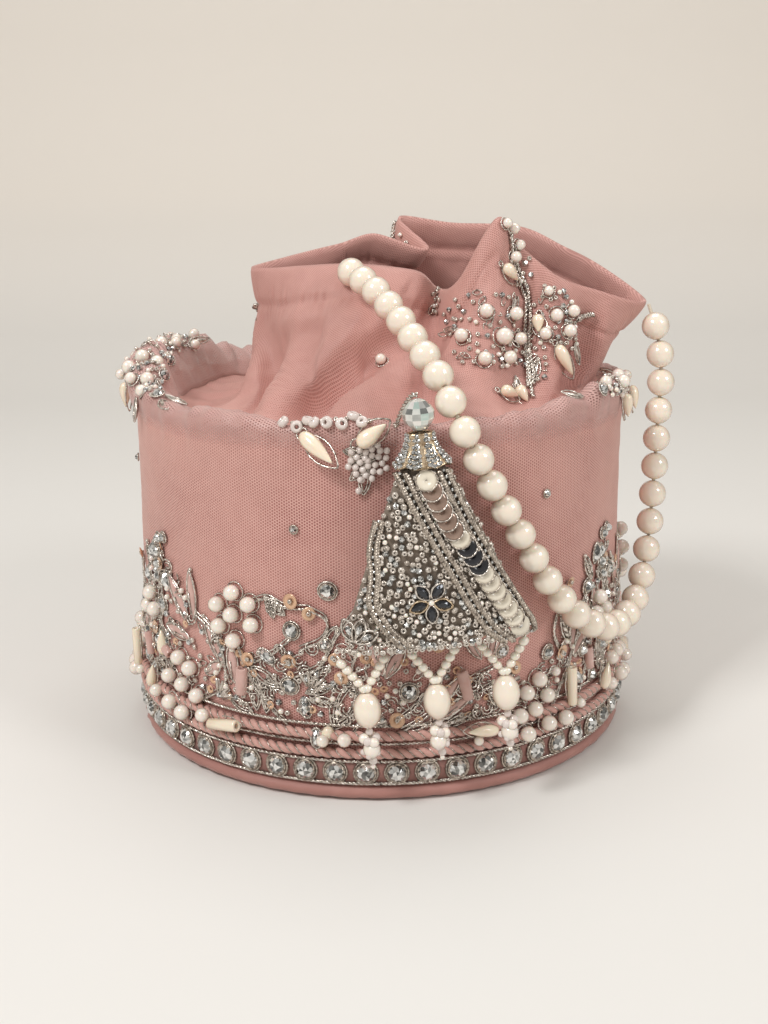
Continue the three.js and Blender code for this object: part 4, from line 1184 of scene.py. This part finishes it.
# Beadwork at the rim and on the collar. Rim spots are azimuth and share across the net
# strip, and collar spots are azimuth and level.
rimWork = {
    "pearls": [(-72, 0.40, 2.3), (-79, 0.52, 2.3), (-86, 0.42, 2.4), (-80, 0.30, 2.3),
               (-93, 0.54, 2.3), (-100, 0.44, 2.2), (-92, 0.32, 2.2), (-107, 0.5, 2.0),
               (-66, 0.30, 2.0), (-112, 0.38, 2.1), (-104, 0.34, 2.0), (-118, 0.48, 2.0),
               (-99, 0.24, 1.9), (-88, 0.2, 1.9), (-74, 0.28, 1.9), (-96, 0.38, 1.8),
               (-103, 0.56, 1.9), (-112, 0.62, 1.8), (66, 0.36, 2.2), (74, 0.45, 2.2),
               (60, 0.46, 2.0), (82, 0.38, 2.0), (144, 0.42, 2.3), (152, 0.5, 2.3),
               (158, 0.38, 2.3), (148, 0.3, 2.0)],
    "stones": [(-97, 0.62, 1.8), (-75, 0.62, 1.6), (-113, 0.4, 1.6), (-61, 0.42, 1.6),
               (70, 0.56, 1.6), (54, 0.34, 1.5), (140, 0.55, 1.6), (163, 0.5, 1.6)],
    "drops": [(-84, 0.20, 170, 9, 1.9), (-98, 0.22, 150, 8, 1.8), (68, 0.24, 190, 8, 1.9),
              (79, 0.26, 160, 8, 1.8), (150, 0.18, 180, 8, 1.8)],
    "leaves": [(-60, 0.5, -60, 9, 3.6), (-58, 0.36, -100, 8, 3.2), (-112, 0.56, 60, 9, 3.6),
               (-70, 0.2, 200, 8, 3.2), (50, 0.42, 60, 8, 3.2), (86, 0.48, -50, 9, 3.4),
               (132, 0.4, 80, 9, 3.4), (168, 0.42, -70, 9, 3.4)],
    "clusters": [(-90, 0.42, 30, 0.22, 210), (70, 0.4, 17, 0.2, 80), (151, 0.4, 18, 0.18, 80)],
    "front": {"shells": [(-15.3, 113.4, -128, 14, 2.4), (-4.4, 110.6, -54, 10.5, 2.5)],
              "seeds": [(-19.4, 0.37), (-17.0, 0.31), (-14.6, 0.33), (-12.2, 0.3),
                        (-9.8, 0.33), (-7.4, 0.31), (-5.2, 0.35), (-3.2, 0.3)],
              "cluster": (-2.2, 105.2), "tail": [(-3.4, 99.5), (-4.0, 96.2)],
              "leaves": [(-1.5, 104.5, 130, 8, 3.4), (-0.5, 105.5, 80, 8, 3.2),
                         (-2.6, 103.0, 175, 8, 3.4), (-5.5, 105.0, -130, 7, 3.0),
                         (-7.0, 108.0, -95, 7, 3.0)]}}
collarWork = {
    "pearls": [(30.8, 0.755, 2.25), (38.6, 0.766, 2.25), (26.0, 0.735, 2.25),
               (34.2, 0.667, 2.75), (41.4, 0.692, 2.1), (29.8, 0.582, 2.25),
               (36.8, 0.592, 2.2), (52.0, 0.927, 1.6), (55.0, 0.864, 2.1),
               (59.8, 0.894, 2.0), (51.2, 0.74, 2.0), (58.0, 0.802, 2.1),
               (33.6, 0.985, 1.6), (36.4, 0.992, 1.8), (39.6, 0.985, 1.7),
               (38.6, 0.945, 1.9), (-3.5, 0.707, 1.8)],
    "shells": [(34.0, 0.885, -118, 7.5, 1.9), (53.6, 0.70, -152, 11, 2.0),
               (49.8, 0.82, -176, 6.0, 1.9), (32.4, 0.405, -100, 6.5, 1.9),
               (39.5, 0.45, -160, 6.0, 1.8)],
    "cords": [[(35.8, 0.985), (37.4, 0.95), (40.0, 0.92), (43.2, 0.87), (44.6, 0.78),
               (44.6, 0.68), (45.0, 0.58), (43.8, 0.44)],
              [(38.0, 0.97), (41.4, 0.93), (46.2, 0.87), (47.2, 0.78), (46.6, 0.68),
               (46.8, 0.58), (45.4, 0.44)],
              [(44.8, 0.7), (45.8, 0.6), (44.6, 0.42), (43.4, 0.34)]],
    "coil": [(62.0, 0.87), (67.0, 0.885), (71.0, 0.9)],
    "leaves": [(48.5, 0.6, 160, 8, 3.2), (41.0, 0.84, 150, 7, 2.8), (24.0, 0.80, 60, 7, 2.8),
               (60.5, 0.76, 200, 8, 3.2), (40.0, 0.52, -170, 7, 2.8),
               (62.5, 0.84, -80, 7, 2.8)],
    "clusters": [(34.0, 0.685, 10.5, 0.135, 120), (55.0, 0.83, 7.5, 0.14, 80),
                 (42.0, 0.93, 4.5, 0.06, 24), (23.4, 0.86, 4.6, 0.07, 36),
                 (14.0, 0.95, 4.2, 0.05, 26), (47.5, 0.62, 3.2, 0.16, 30)],
    "repeats": (0, 142, 200)}


def makeRimWork(rim, work):
    heaps = {key: newHeap() for key in ("bead", "silver", "stone", "shell", "clearSeed",
                                        "dew")}
    rolls = np.random.default_rng(77)
    seed = seedBead(0.85)

    def sow(spotAt, clusters, shift=0.0, keepOff=()):
        for azimuth, level, wide, tall, count in clusters:
            taken = []
            for _ in range(count * 5):
                angle, reach = rolls.uniform(0, fullTurn), math.sqrt(rolls.random())
                a = azimuth + wide * reach * math.cos(angle)
                b = level + tall * reach * math.sin(angle)
                if b > 0.985 or any(math.hypot(a - c, (b - d) * 70) < 1.75 for c, d in taken) \
                        or any(math.hypot(a - c[0], (b - c[1]) * 70) < 0.85 * c[2]
                               for c in keepOff):
                    continue
                taken.append((a, b))
                place = [spotAt(a + shift, b, 0.25, rolls.uniform(0, 360),
                                rolls.uniform(-40, 40))]
                kind = rolls.random()
                if kind < 0.5:
                    pile(heaps["clearSeed"], seed, place)
                elif kind < 0.72:
                    pile(heaps["stone"], reshaped(brilliant(0.9, 0.8, 0.4),
                                                  move=(0, 0, 0.4)), place)
                elif kind < 0.86:
                    pile(heaps["silver"], petalEdge(3.4, 1.6, 0.24), place)
                else:
                    pile(heaps["bead"], reshaped(ball(0.85, 8, 6), move=(0, 0, 0.6)), place)
                if len(taken) >= count:
                    break

    def onCollar(azimuth, level, lift=0.0, turn=0.0, tip=0.0):
        return onCloth(azimuth, collarRow(level), lift, turn, tip)

    def sew(spotAt, pearls, shells, leaves, shift=0.0):
        for azimuth, level, radius in pearls:
            spot = [spotAt(azimuth + shift, level, 0.25)]
            pile(heaps["bead"], reshaped(ball(radius, 13, 8), move=(0, 0, 0.8 * radius)), spot)
            pile(heaps["silver"], wireRing(radius + 0.25, 0.26, 12, 4, 0.2), spot)
        for azimuth, level, turn, length, radius in shells:
            spot = [spotAt(azimuth + shift, level, 0.35, turn)]
            pile(heaps["shell"], teardrop(length, radius), spot)
            pile(heaps["silver"], petalEdge(length + 1.2, 2.7 * radius, 0.27, 0.3), spot)
            pile(heaps["silver"], reshaped(wireRing(0.9, 0.3, 8, 4, 0.4),
                                           move=(0, -0.6, 0)), spot)
        for azimuth, level, turn, length, width in leaves:
            spot = [spotAt(azimuth + shift, level, 0.35, turn)]
            pile(heaps["silver"], petal(0.9 * length, 0.5 * width, 0.8), spot)
            pile(heaps["silver"], petalEdge(length, width, 0.3), spot)

    sew(onPuff, rim["pearls"], rim["drops"], rim["leaves"])
    sow(onPuff, rim["clusters"], 0.0, rim["pearls"])
    for azimuth, share, radius in rim["stones"]:
        spot = [onPuff(azimuth, share, 0.3)]
        pile(heaps["stone"], reshaped(brilliant(radius, 1.3), move=(0, 0, 0.5)), spot)
        pile(heaps["silver"], wireRing(radius + 0.4, 0.3, 14, 4, 0.35), spot)
    front = rim["front"]
    for azimuth, height, turn, length, radius in front["shells"]:
        spot = [onWall(azimuth, height, 1.6, turn)]
        pile(heaps["shell"], teardrop(length, radius), spot)
        pile(heaps["silver"], petalEdge(length + 1.2, 2.7 * radius, 0.3, 0.3), spot)
        pile(heaps["silver"], wireRing(1.7, 0.32, 12, 4, 0.4), spot)
    for azimuth, share in front["seeds"]:
        spot = [onPuff(azimuth, share, 0.1, 40 * azimuth, 35)]
        pile(heaps["dew"], reshaped(seedBead(1.9, 12), move=(0, 0, 0.3)), spot)
        pile(heaps["silver"], reshaped(wireRing(0.8, 0.3, 0, 4, 1.5)), spot)
        pile(heaps["clearSeed"], seed, [onPuff(azimuth + 1.2, share + 0.06, 0.1, 0, 30)])
    azimuth, height = front["cluster"]
    for n in range(30):
        angle, reach = 2.4 * n, 1.12 * math.sqrt(n)
        spot = [onWall(azimuth + reach * math.cos(angle) / 1.42,
                       height + reach * math.sin(angle), 0.8)]
        pile(heaps["dew"], reshaped(ball(1.05, 9, 6), move=(0, 0, 0.7)), spot)
    for azimuth, height in front["tail"]:
        spot = [onWall(azimuth, height, 0.3)]
        pile(heaps["dew"], reshaped(ball(1.1, 9, 6), move=(0, 0, 0.8)), spot)
    for azimuth, height, turn, length, width in front["leaves"]:
        spot = [onWall(azimuth, height, 0.5, turn)]
        pile(heaps["silver"], petalEdge(length, width, 0.3), spot)
        pile(heaps["silver"], petalEdge(length, width, 0.24, 0.3, 0.24 * width), spot)
    for n, shift in enumerate(work["repeats"]):
        pearls = work["pearls"] if n == 0 else work["pearls"][:12]
        sew(onCollar, pearls, work["shells"], work["leaves"], shift)
        clusters = [(*c[:4], c[4] if n == 0 else int(0.6 * c[4])) for c in work["clusters"]]
        sow(onCollar, clusters, shift, work["pearls"])
        for cord in work["cords"]:
            path = clothLine([(a + shift, l) for a, l in cord], 0.8, 0.72, rows=collarRow)
            for ply in plait(path, 0.42, 0.42, 2.6, 2, 4):
                pile(heaps["silver"], ply)
        path = clothLine([(a + shift, l) for a, l in work["coil"]], 1.3, 0.3, rows=collarRow)
        for ply in plait(path, 0.75, 0.36, 1.5, 2, 5):
            pile(heaps["silver"], ply)
    addHeaps("rim", heaps)


makeRimWork(rimWork, collarWork)
print("rim and collar beadwork made")

# Lining, puckered a little against the boards
lining = {"radius": 77.9, "inner": 76.8, "floor": 4.7, "bottom": 5.8, "top": 110.3,
          "pucker": 0.35, "flat": (0.49, 0.1425)}


def makeLining(look):
    inside = [(look["inner"], z) for z in np.linspace(look["top"], look["bottom"] + 1.2, 30)]
    ground = [(r, look["bottom"]) for r in np.linspace(look["inner"] - 0.8, 4, 14)]
    shape = lathe([(0, look["floor"]), (look["radius"] - 1, look["floor"]),
                   (look["radius"], look["floor"] + 1), (look["radius"], look["top"] - 0.4),
                   (look["radius"] - 0.4, look["top"]), *inside, *ground,
                   (0, look["bottom"])], 168)
    points = shape[0]
    radius = np.hypot(points[:, 0], points[:, 1])
    u = np.arctan2(points[:, 0], -points[:, 1]) / fullTurn
    push = look["pucker"] * (softNoise(u, points[:, 2] / 150, 51, 6, 24, ratio=0.3)
                             + 0.5 * softNoise(u, points[:, 2] / 150, 52, 30, 80, ratio=0.2))
    onSide = (radius > 60) & (radius < look["inner"] + 0.1) & (points[:, 2] > 7.5)
    scale = np.where(onSide, 1 + np.clip(push, -1.2, 0.8) / 77, 1)
    points[:, :2] *= scale[:, None]
    onFloor = (radius < look["inner"] - 1) & (points[:, 2] > look["bottom"] - 0.1)
    points[:, 2] += np.where(onFloor, 0.3 * softNoise(u * 0 + points[:, 0] / 160,
                                                      points[:, 1] / 160, 53, 3, 9), 0)
    heap = newHeap()
    pile(heap, shape)
    piece = addPiece("liningCloth", heap, "lining",
                     inPlaceOf=["lining", "lining_base"])


makeLining(lining)

# Cord that carries the tassel, from the cloth inside the rim to the crystal
hanger = {"stops": [(4.9, -79.4, 114.6), (6.2, -82.0, 118.6), (8.0, -85.2, 122.6),
                    (9.8, -87.8, 124.9), (10.61, -88.6, 124.9)],
          "radius": 0.42, "offset": 0.36}


def makeHanger(look):
    path = smoothLine(np.array(look["stops"], float), 60)
    heap = newHeap()
    for ply in plait(path, look["offset"], look["radius"], 3.0, 2, 6):
        pile(heap, ply)
    pile(heap, reshaped(ball(1.0, 10, 7), move=look["stops"][0]))
    addPiece("tasselCord", heap, "silver", inPlaceOf=["tassel_hanger"])


makeHanger(hanger)
print("lining and hanger made")

# Tassel, worked in its own frame: X to the right, Z up, -Y out from the pouch
tassel = {
    "hinge": (10.61, -88.97, 124.3), "azimuth": 6.8, "lean": -4.5,
    "top": -15.79, "length": 55, "topWidth": 9, "width": 56, "thick": 10, "depth": -1.6,
    "crystal": 4.6, "capTop": -9.7, "capHeight": 9.6, "capTopRadius": 3.7, "capRim": 8.3,
    "chains": [[(-6.0, -20.0), (-3.5, -27.9), (1.0, -38.9), (5.6, -48.9), (11.3, -61.0),
                (15.8, -67.9), (20.0, -71.6)],
               [(4.5, -20.2), (7.2, -27.5), (9.9, -34.4), (14.6, -44.4), (19.6, -54.6),
                (23.6, -62.3), (26.2, -67.4), (26.5, -70.0)],
               [(-13.2, -33.0), (-15.6, -40.5), (-16.2, -48.9), (-17.4, -56.0),
                (-14.8, -62.7), (-9.6, -69.2)]],
    "discs": [(0.1, -22.4), (4.8, -34.9), (8.4, -40.9), (15.1, -53.5), (22.7, -67.2)],
    "disc": 3.05, "discGap": 2.95, "flower": (-1.6, -56.6), "spray": (-23.5, -66.5),
    "edge": [(-28.6, -69.4), (-17.8, -70.2), (-8.0, -70.4), (7.3, -70.5), (20.4, -70.5),
             (27.4, -70.0)], "seeds": 1150}


def tasselFrame(look):
    turn = spin("Z", look["azimuth"]) @ spin("Y", look["lean"])
    return turn, np.array(look["hinge"])


def inTassel(heap, look):
    turn, hinge = tasselFrame(look)
    heap["points"] = [p @ turn.T + hinge for p in heap["points"]]
    return heap


def padSection(share, look):
    half = (look["topWidth"] + (look["width"] - look["topWidth"]) * share ** 0.9) / 2
    thick = look["thick"] / 2 * (0.55 + 0.45 * np.sqrt(share))
    return half, thick, look["depth"] * np.sqrt(share), look["top"] - share * look["length"]


def onPad(x, z, lift=0.0, turn=0.0, tip=0.0, look=tassel):
    share = float(np.clip((look["top"] - z) / look["length"], 0.0, 1.0))
    half, thick, depth, _ = padSection(share, look)
    across = float(np.clip(x / half, -0.98, 0.98))
    rise = thick * math.sqrt(1 - across * across)
    out = unit(np.array([across * thick / half * 1.6, -1.0, 0.0]))
    side = unit(np.cross((0, 0, 1), out))
    basis = np.stack([side, np.cross(out, side), out], 1) @ spin("Z", turn) @ spin("X", tip)
    return basis, np.array([x, depth - rise, z]) + lift * out


def padLine(stops, lift, step=0.6):
    fine = smoothLine(np.array([(x, 0, z) for x, z in stops], float), 40 * len(stops))
    along = np.concatenate([[0], np.cumsum(np.linalg.norm(np.diff(fine, axis=0), axis=1))])
    even = np.linspace(0, along[-1], max(6, int(along[-1] / step)))
    x, z = np.interp(even, along, fine[:, 0]), np.interp(even, along, fine[:, 2])
    return np.array([onPad(a, b, lift)[1] for a, b in zip(x, z)])


def makeTasselTop(look):
    heap = newHeap()
    radius = look["crystal"]
    rows = [(0.6, radius * 0.99), (2.2, radius * 0.86), (3.7, radius * 0.5), (4.5, 0.9)]
    profile = [(r, h) for r, h in rows] + [(r, -h) for r, h in reversed(rows)]
    pile(heap, reshaped(lathe([(0, radius), *profile, (0, -radius)], 12),
                        move=(0, 0, -0.3 - radius)))
    addPiece("tasselCrystal", inTassel(heap, look), "aurora", "tassel", flat=True,
             inPlaceOf=["crystal_bead"])
    share = np.linspace(0, 1, 16)
    flare = look["capTopRadius"] + (look["capRim"] - look["capTopRadius"]) * share ** 1.9
    sides = 72
    angle = fullTurn * np.arange(sides) / sides
    scallop = 0.9 * np.abs(np.cos(4 * angle))
    rings = []
    for s, r in zip(share, flare):
        ridge = 1 + 0.035 * np.cos(8 * angle) ** 8
        rings.append(np.stack([r * ridge * np.cos(angle), 0.7 * r * ridge * np.sin(angle),
                               look["capTop"] - s * (look["capHeight"] - scallop)], -1))
    outer = np.array(rings)
    inner = outer * (1 - 0.8 / np.linalg.norm(outer[..., :2], axis=-1))[..., None] \
        * np.array([1, 1, 0]) + outer * np.array([0, 0, 1]) - np.array([0, 0, 0.25])
    sheet = np.concatenate([inner, outer[::-1]])
    heap = newHeap()
    heap["points"] = [sheet.reshape(-1, 3)]
    heap["quads"] = [gridFaces(len(sheet), sides, wrapRows=True)]
    chips = newHeap()
    pile(heap, tube(outer[-1], 0.5, 6, closed=True))
    pile(heap, tube(outer[0], 0.42, 6, closed=True))
    for k in range(8):
        pile(heap, tube(outer[:, 9 * k], 0.36, 5))
    for k in range(8):
        for row, spread in ((1, (0,)), (3, (-1.4, 1.4)), (5, (0,)), (6, (-1.9, 1.9)),
                            (8, (-1.6, 0, 1.6)), (10, (-2.2, -0.7, 0.7, 2.2)),
                            (12, (-2.4, -0.8, 0.8, 2.4)), (14, (-2.8, -1.4, 0, 1.4, 2.8))):
            for offset in spread:
                place = outer[row, int(round(9 * k + 4.5 + offset)) % sides]
                out = unit(place * (1, 1, 0) + (0, 0, 0.8))
                side = unit(np.cross((0, 0, 1), out))
                pile(chips, reshaped(brilliant(0.66, 0.55, 0.3), move=(0, 0, 0.1)),
                     [(np.stack([side, np.cross(out, side), out], 1), place)])
    addPiece("tasselCap", inTassel(heap, look), "gilt", "tassel",
             inPlaceOf=["bead_cap"])
    addPiece("tasselCapChips", inTassel(chips, look), "stone", "tassel", flat=True)


def makePad(look):
    sides, rows = 44, 40
    angle = fullTurn * np.arange(sides) / sides
    rings = []
    for share in np.linspace(0, 1, rows):
        half, thick, depth, z = padSection(share, look)
        ease = min(1.0, 0.55 + 5 * share) * min(1.0, 0.45 + 9 * (1 - share))
        rings.append(np.stack([half * (0.96 * ease + 0.04) * np.cos(angle),
                               depth + thick * 0.95 * ease * np.sin(angle),
                               np.full(sides, z)], -1))
    rings = np.array(rings)
    heap = newHeap()
    heap["points"] = [rings[::-1].reshape(-1, 3), rings[-1].mean(0)[None],
                      rings[0].mean(0)[None]]
    heap["quads"] = [gridFaces(rows, sides)]
    a = np.arange(sides)
    b, last = (a + 1) % sides, (rows - 1) * sides
    heap["tris"] = [np.stack([np.full(sides, rows * sides), b, a], -1),
                    np.stack([np.full(sides, rows * sides + 1), last + a, last + b], -1)]
    pad = addPiece("tasselPad", inTassel(heap, look), "felt", "tassel",
                   inPlaceOf=["tassel_pad"])

    heaps = {key: newHeap() for key in ("clearSeed", "stone", "antique", "silver", "smoke",
                                        "ink", "cream", "inkStone", "gilt", "bead")}
    lines = [np.array([(x, z) for x, _, z in padLine(c, 0)]) for c in look["chains"]]
    lines.append(np.array([(x, z) for x, _, z in padLine(look["discs"], 0)]))
    rolls = np.random.default_rng(31)
    taken = []
    seeds = {r: seedBead(r) for r in (0.9, 1.0, 1.15)}
    for _ in range(look["seeds"] * 14):
        share = rolls.uniform(0.03, 0.985) ** 0.7
        half, _, _, z = padSection(share, look)
        x = rolls.uniform(-0.97, 0.97) * half
        if any((x - t[0]) ** 2 + (z - t[1]) ** 2 < 2.35 for t in taken):
            continue
        if (x - look["flower"][0]) ** 2 + (z - look["flower"][1]) ** 2 < 16:
            continue
        if any(np.min(np.hypot(line[:, 0] - x, line[:, 1] - z)) < gap
               for line, gap in zip(lines, (1.7, 1.7, 1.5, 2.6))):
            continue
        taken.append((x, z))
        spot = [onPad(x, z, rolls.uniform(-0.2, 0.5), rolls.uniform(0, 360),
                      rolls.uniform(-55, 55))]
        kind = rolls.random()
        if kind < 0.72:
            pile(heaps["clearSeed"], seeds[rolls.choice([0.9, 1.0, 1.15])], spot)
        elif kind < 0.9:
            pile(heaps["stone"], reshaped(brilliant(0.95, 0.8, 0.5), move=(0, 0, 0.5)), spot)
        else:
            pile(heaps["bead"], reshaped(ball(0.8, 8, 6), move=(0, 0, 0.5)), spot)
        if len(taken) >= look["seeds"]:
            break
    for stops, reach in zip(look["chains"], (1.2, 1.2, 0.95)):
        for offset in (-reach, reach):
            path = padLine([(x + offset, z) for x, z in stops], 1.0, 0.42)
            for ply in plait(path, 0.56, 0.54, 2.5, 3, 5, start=offset):
                pile(heaps["antique"], ply)
        path = padLine(stops, 1.3, 0.5)
        pile(heaps["stone"], brilliant(0.5, 0.4, 0.2),
             [(np.stack([(1, 0, 0), (0, 0, 1), (0, -1, 0)], 1), p) for p in path[::4]])
    path = padLine(look["discs"], 0.9, look["discGap"])
    count = len(path)
    for n, place in enumerate(path):
        way = path[min(n + 1, count - 1)] - path[max(n - 1, 0)]
        heading = math.degrees(math.atan2(way[0], -way[2]))
        last = n == count - 1
        kind = "smoke" if n < 0.4 * count else "ink" if n < 0.56 * count else "cream"
        if n in (0, int(0.4 * count)):
            kind = "cream"
        basis, where = onPad(place[0], place[2], 1.0 + 0.03 * n, heading, 0 if last else -20)
        pile(heaps[kind], sequin(look["disc"], 0.35, 0.3, 0.24, 24), [(basis, where)])
        if last:
            pile(heaps["stone"], reshaped(brilliant(0.8, 0.6), move=(0, 0, 0.6)),
                 [(basis, where)])
        else:
            pile(heaps["antique" if kind == "cream" else "silver"],
                 wireRing(3.0, 0.26, 20, 5, 0.55), [(basis, where)])
    x, z = look["flower"]
    for k in range(5):
        spot = [onPad(x, z, 1.0, 180 + 72 * k)]
        pile(heaps["inkStone"], reshaped(brilliant(1, 1.0, 0.3), scale=(1.35, 2.5, 1),
                                         move=(0, 3.6, 0.3)), spot)
        edge = petalEdge(5.6, 3.4, 0.34, 0.5)
        pile(heaps["gilt" if k in (1, 4) else "silver"], reshaped(edge, move=(0, 0.8, 0)), spot)
    pile(heaps["bead"], reshaped(ball(0.9, 10, 6), move=(0, 0, 1.3)), [onPad(x, z, 1.0)])
    for k in range(3):
        spot = [onPad(*look["spray"], 1.2, -70 + 45 * k)]
        pile(heaps["silver"], petalEdge(7.5, 3.8, 0.4), spot)
        pile(heaps["stone"], reshaped(brilliant(0.9, 0.8), scale=(1, 1.7, 1),
                                      move=(0, 3.8, 0.4)), spot)
    path = padLine(look["edge"], 0.5, 1.7)
    pile(heaps["clearSeed"], seeds[1.0],
         [(np.stack([(0, 0, 1), (1, 0, 0), (0, 1, 0)], 1) @ spin("X", dice.uniform(-30, 30)),
           p + (0, -0.4, 0)) for p in path])
    addHeaps("pad", {key: inTassel(heap, look) for key, heap in heaps.items()}, "tassel")


drops = {"offsets": {"left": -21.8, "middle": -1.4, "right": 18.9}, "drop": 0.6,
         "legTop": -0.2, "legLength": 11.6, "spread": 14.4, "seed": 1.65, "perLeg": 5,
         "oval": (4.05, 5.5), "cluster": 1.65}


def makeDrops(look, pad):
    base = pad["top"] - pad["length"] - look["drop"]
    for side, x in look["offsets"].items():
        seeds, ovals, tip, glass = newHeap(), newHeap(), newHeap(), newHeap()
        move = np.array([x, pad["depth"], base])
        foot = np.array([0, 0, look["legTop"] - look["legLength"]])
        for hand in (-1, 1):
            top = np.array([hand * look["spread"] / 2, 0, look["legTop"] - 0.6])
            for n in range(look["perLeg"]):
                place = top + (foot - top) * (n + 0.78) / (look["perLeg"] + 0.2)
                bead = ball(look["seed"] * (1 - 0.03 * n), 12, 8, 0.86)
                tilt = spin("Y", hand * -28)
                pile(seeds, reshaped(bead, tilt, move=place + move))
            pile(seeds, tube(np.array([top + (0, 0, 0.9), foot]) + move, 0.35, 6))
        wide, tall = look["oval"]
        pile(ovals, reshaped(ball(1, 28, 18), scale=(wide, wide, tall),
                             move=move + (0, 0, foot[2] - 0.3 - tall)))
        low = foot[2] - 0.6 - 2 * tall
        pile(glass, reshaped(ball(1.15, 10, 7), move=move + (0, 0, low - 0.9)))
        for k in range(6):
            angle = fullTurn * (k + 0.5 * (side == "middle")) / 6
            out = 1.75
            bead = ball(look["cluster"] * (1.0 if k % 2 else 0.82), 12, 8)
            pile(tip if k % 2 else glass, reshaped(bead, move=move + (
                out * math.cos(angle), out * math.sin(angle), low - 2.9 - 0.5 * (k % 3))))
        pile(tip, reshaped(ball(2.6, 18, 12), move=move + (
            -0.6 if side == "middle" else 0.2, -0.5, low - 6.4)))
        for k in range(5):
            angle = fullTurn * k / 5 + 0.5
            pile(glass, reshaped(ball(0.95, 9, 6), move=move + (
                2.3 * math.cos(angle), 2.0 * math.sin(angle), low - 7.2 - 0.6 * (k % 2))))
        pile(glass, reshaped(ball(1.25, 10, 7), move=move + (0.3, 0, low - 10.2)))
        pile(tip, reshaped(ball(0.8, 9, 6), move=move + (0.2, 0, low - 12.0)))
        body = "drop_" + side
        addPiece(body + "Seeds", inTassel(seeds, pad), "seed", body,
                 inPlaceOf=[body + "_strands"])
        addPiece(body + "Oval", inTassel(ovals, pad), "pearl", body,
                 inPlaceOf=[body + "_pearl"])
        addPiece(body + "Cluster", inTassel(tip, pad), "bead", body,
                 inPlaceOf=[body + "_tip"])
        addPiece(body + "Glass", inTassel(glass, pad), "dew", body)


makeTasselTop(tassel)
makePad(tassel)
makeDrops(drops, tassel)
print("tassel made")


# Floor, backdrop and lights
stage = {"floor": (225, 223, 219), "back": (238, 231, 222), "size": 12.0,
         "rows": [(-6.0, 0.0), (0.6, 0.0), (0.78, 0.03), (0.9, 0.12), (0.96, 0.3),
                  (0.98, 1.6)]}


def makeStage(look):
    rows = look["rows"]
    half = look["size"] / 2
    points = [(x, y, z) for y, z in rows for x in (-half, half)]
    faces = [(2 * i, 2 * i + 1, 2 * i + 3, 2 * i + 2) for i in range(len(rows) - 1)]
    mesh = bpy.data.meshes.new("floor")
    mesh.from_pydata(points, [], faces)
    mesh.polygons.foreach_set("use_smooth", np.ones(len(faces), bool))
    finish, tree, shader = newFinish("studioPaper", Roughness=0.9, Specular_IOR_Level=0.2)
    where = objectPlace(tree)
    height = addNode(tree, "SeparateXYZ", Vector=where).outputs[2]
    fade = addNode(tree, "MapRange", Value=height, From_Max=0.15).outputs[0]
    paper = mixed(tree, fade, rgb(*look["floor"]), rgb(*look["back"]))
    fibre = noise(tree, 40, 4, where)
    tree.links.new(mixed(tree, maths(tree, "MULTIPLY", fibre, 0.06), paper,
                         rgb(220, 210, 198)), shader.inputs["Base Color"])
    mesh.materials.append(finish)
    floor = bpy.data.objects.new("floor", mesh)
    bpy.context.scene.collection.objects.link(floor)


lamps = {"keyLight": {"place": (-0.55, -0.65, 0.95), "aim": 0.08, "size": 0.27, "power": 7.0},
         "fillLight": {"place": (0.75, -0.55, 0.7), "aim": 0.08, "size": 0.3, "power": 3.0},
         "topLight": {"place": (0.05, 0.25, 1.1), "aim": 0.1, "size": 0.6, "power": 2.6}}


def makeLights(look):
    world = bpy.data.worlds.new("studio")
    world.use_nodes = True
    world.node_tree.nodes["Background"].inputs[0].default_value = (*rgb(250, 246, 240), 1)
    world.node_tree.nodes["Background"].inputs[1].default_value = 0.5
    bpy.context.scene.world = world
    for name, lamp in look.items():
        data = bpy.data.lights.new(name, "AREA")
        data.size = lamp["size"]
        data.energy = lamp["power"]
        light = bpy.data.objects.new(name, data)
        way = np.array((0, 0, lamp["aim"])) - np.array(lamp["place"])
        light.rotation_euler = Vector(way).to_track_quat("-Z", "Y").to_euler()
        light.location = lamp["place"]
        bpy.context.scene.collection.objects.link(light)


makeStage(stage)
makeLights(lamps)
bpy.context.scene.view_settings.view_transform = "Standard"

# The two hidden boards are the only plain nodes left
for name in ("base_board", "wall_board"):
    nodes[name].data.materials.clear()
    nodes[name].data.materials.append(finishes["board"])

print("scene ready")
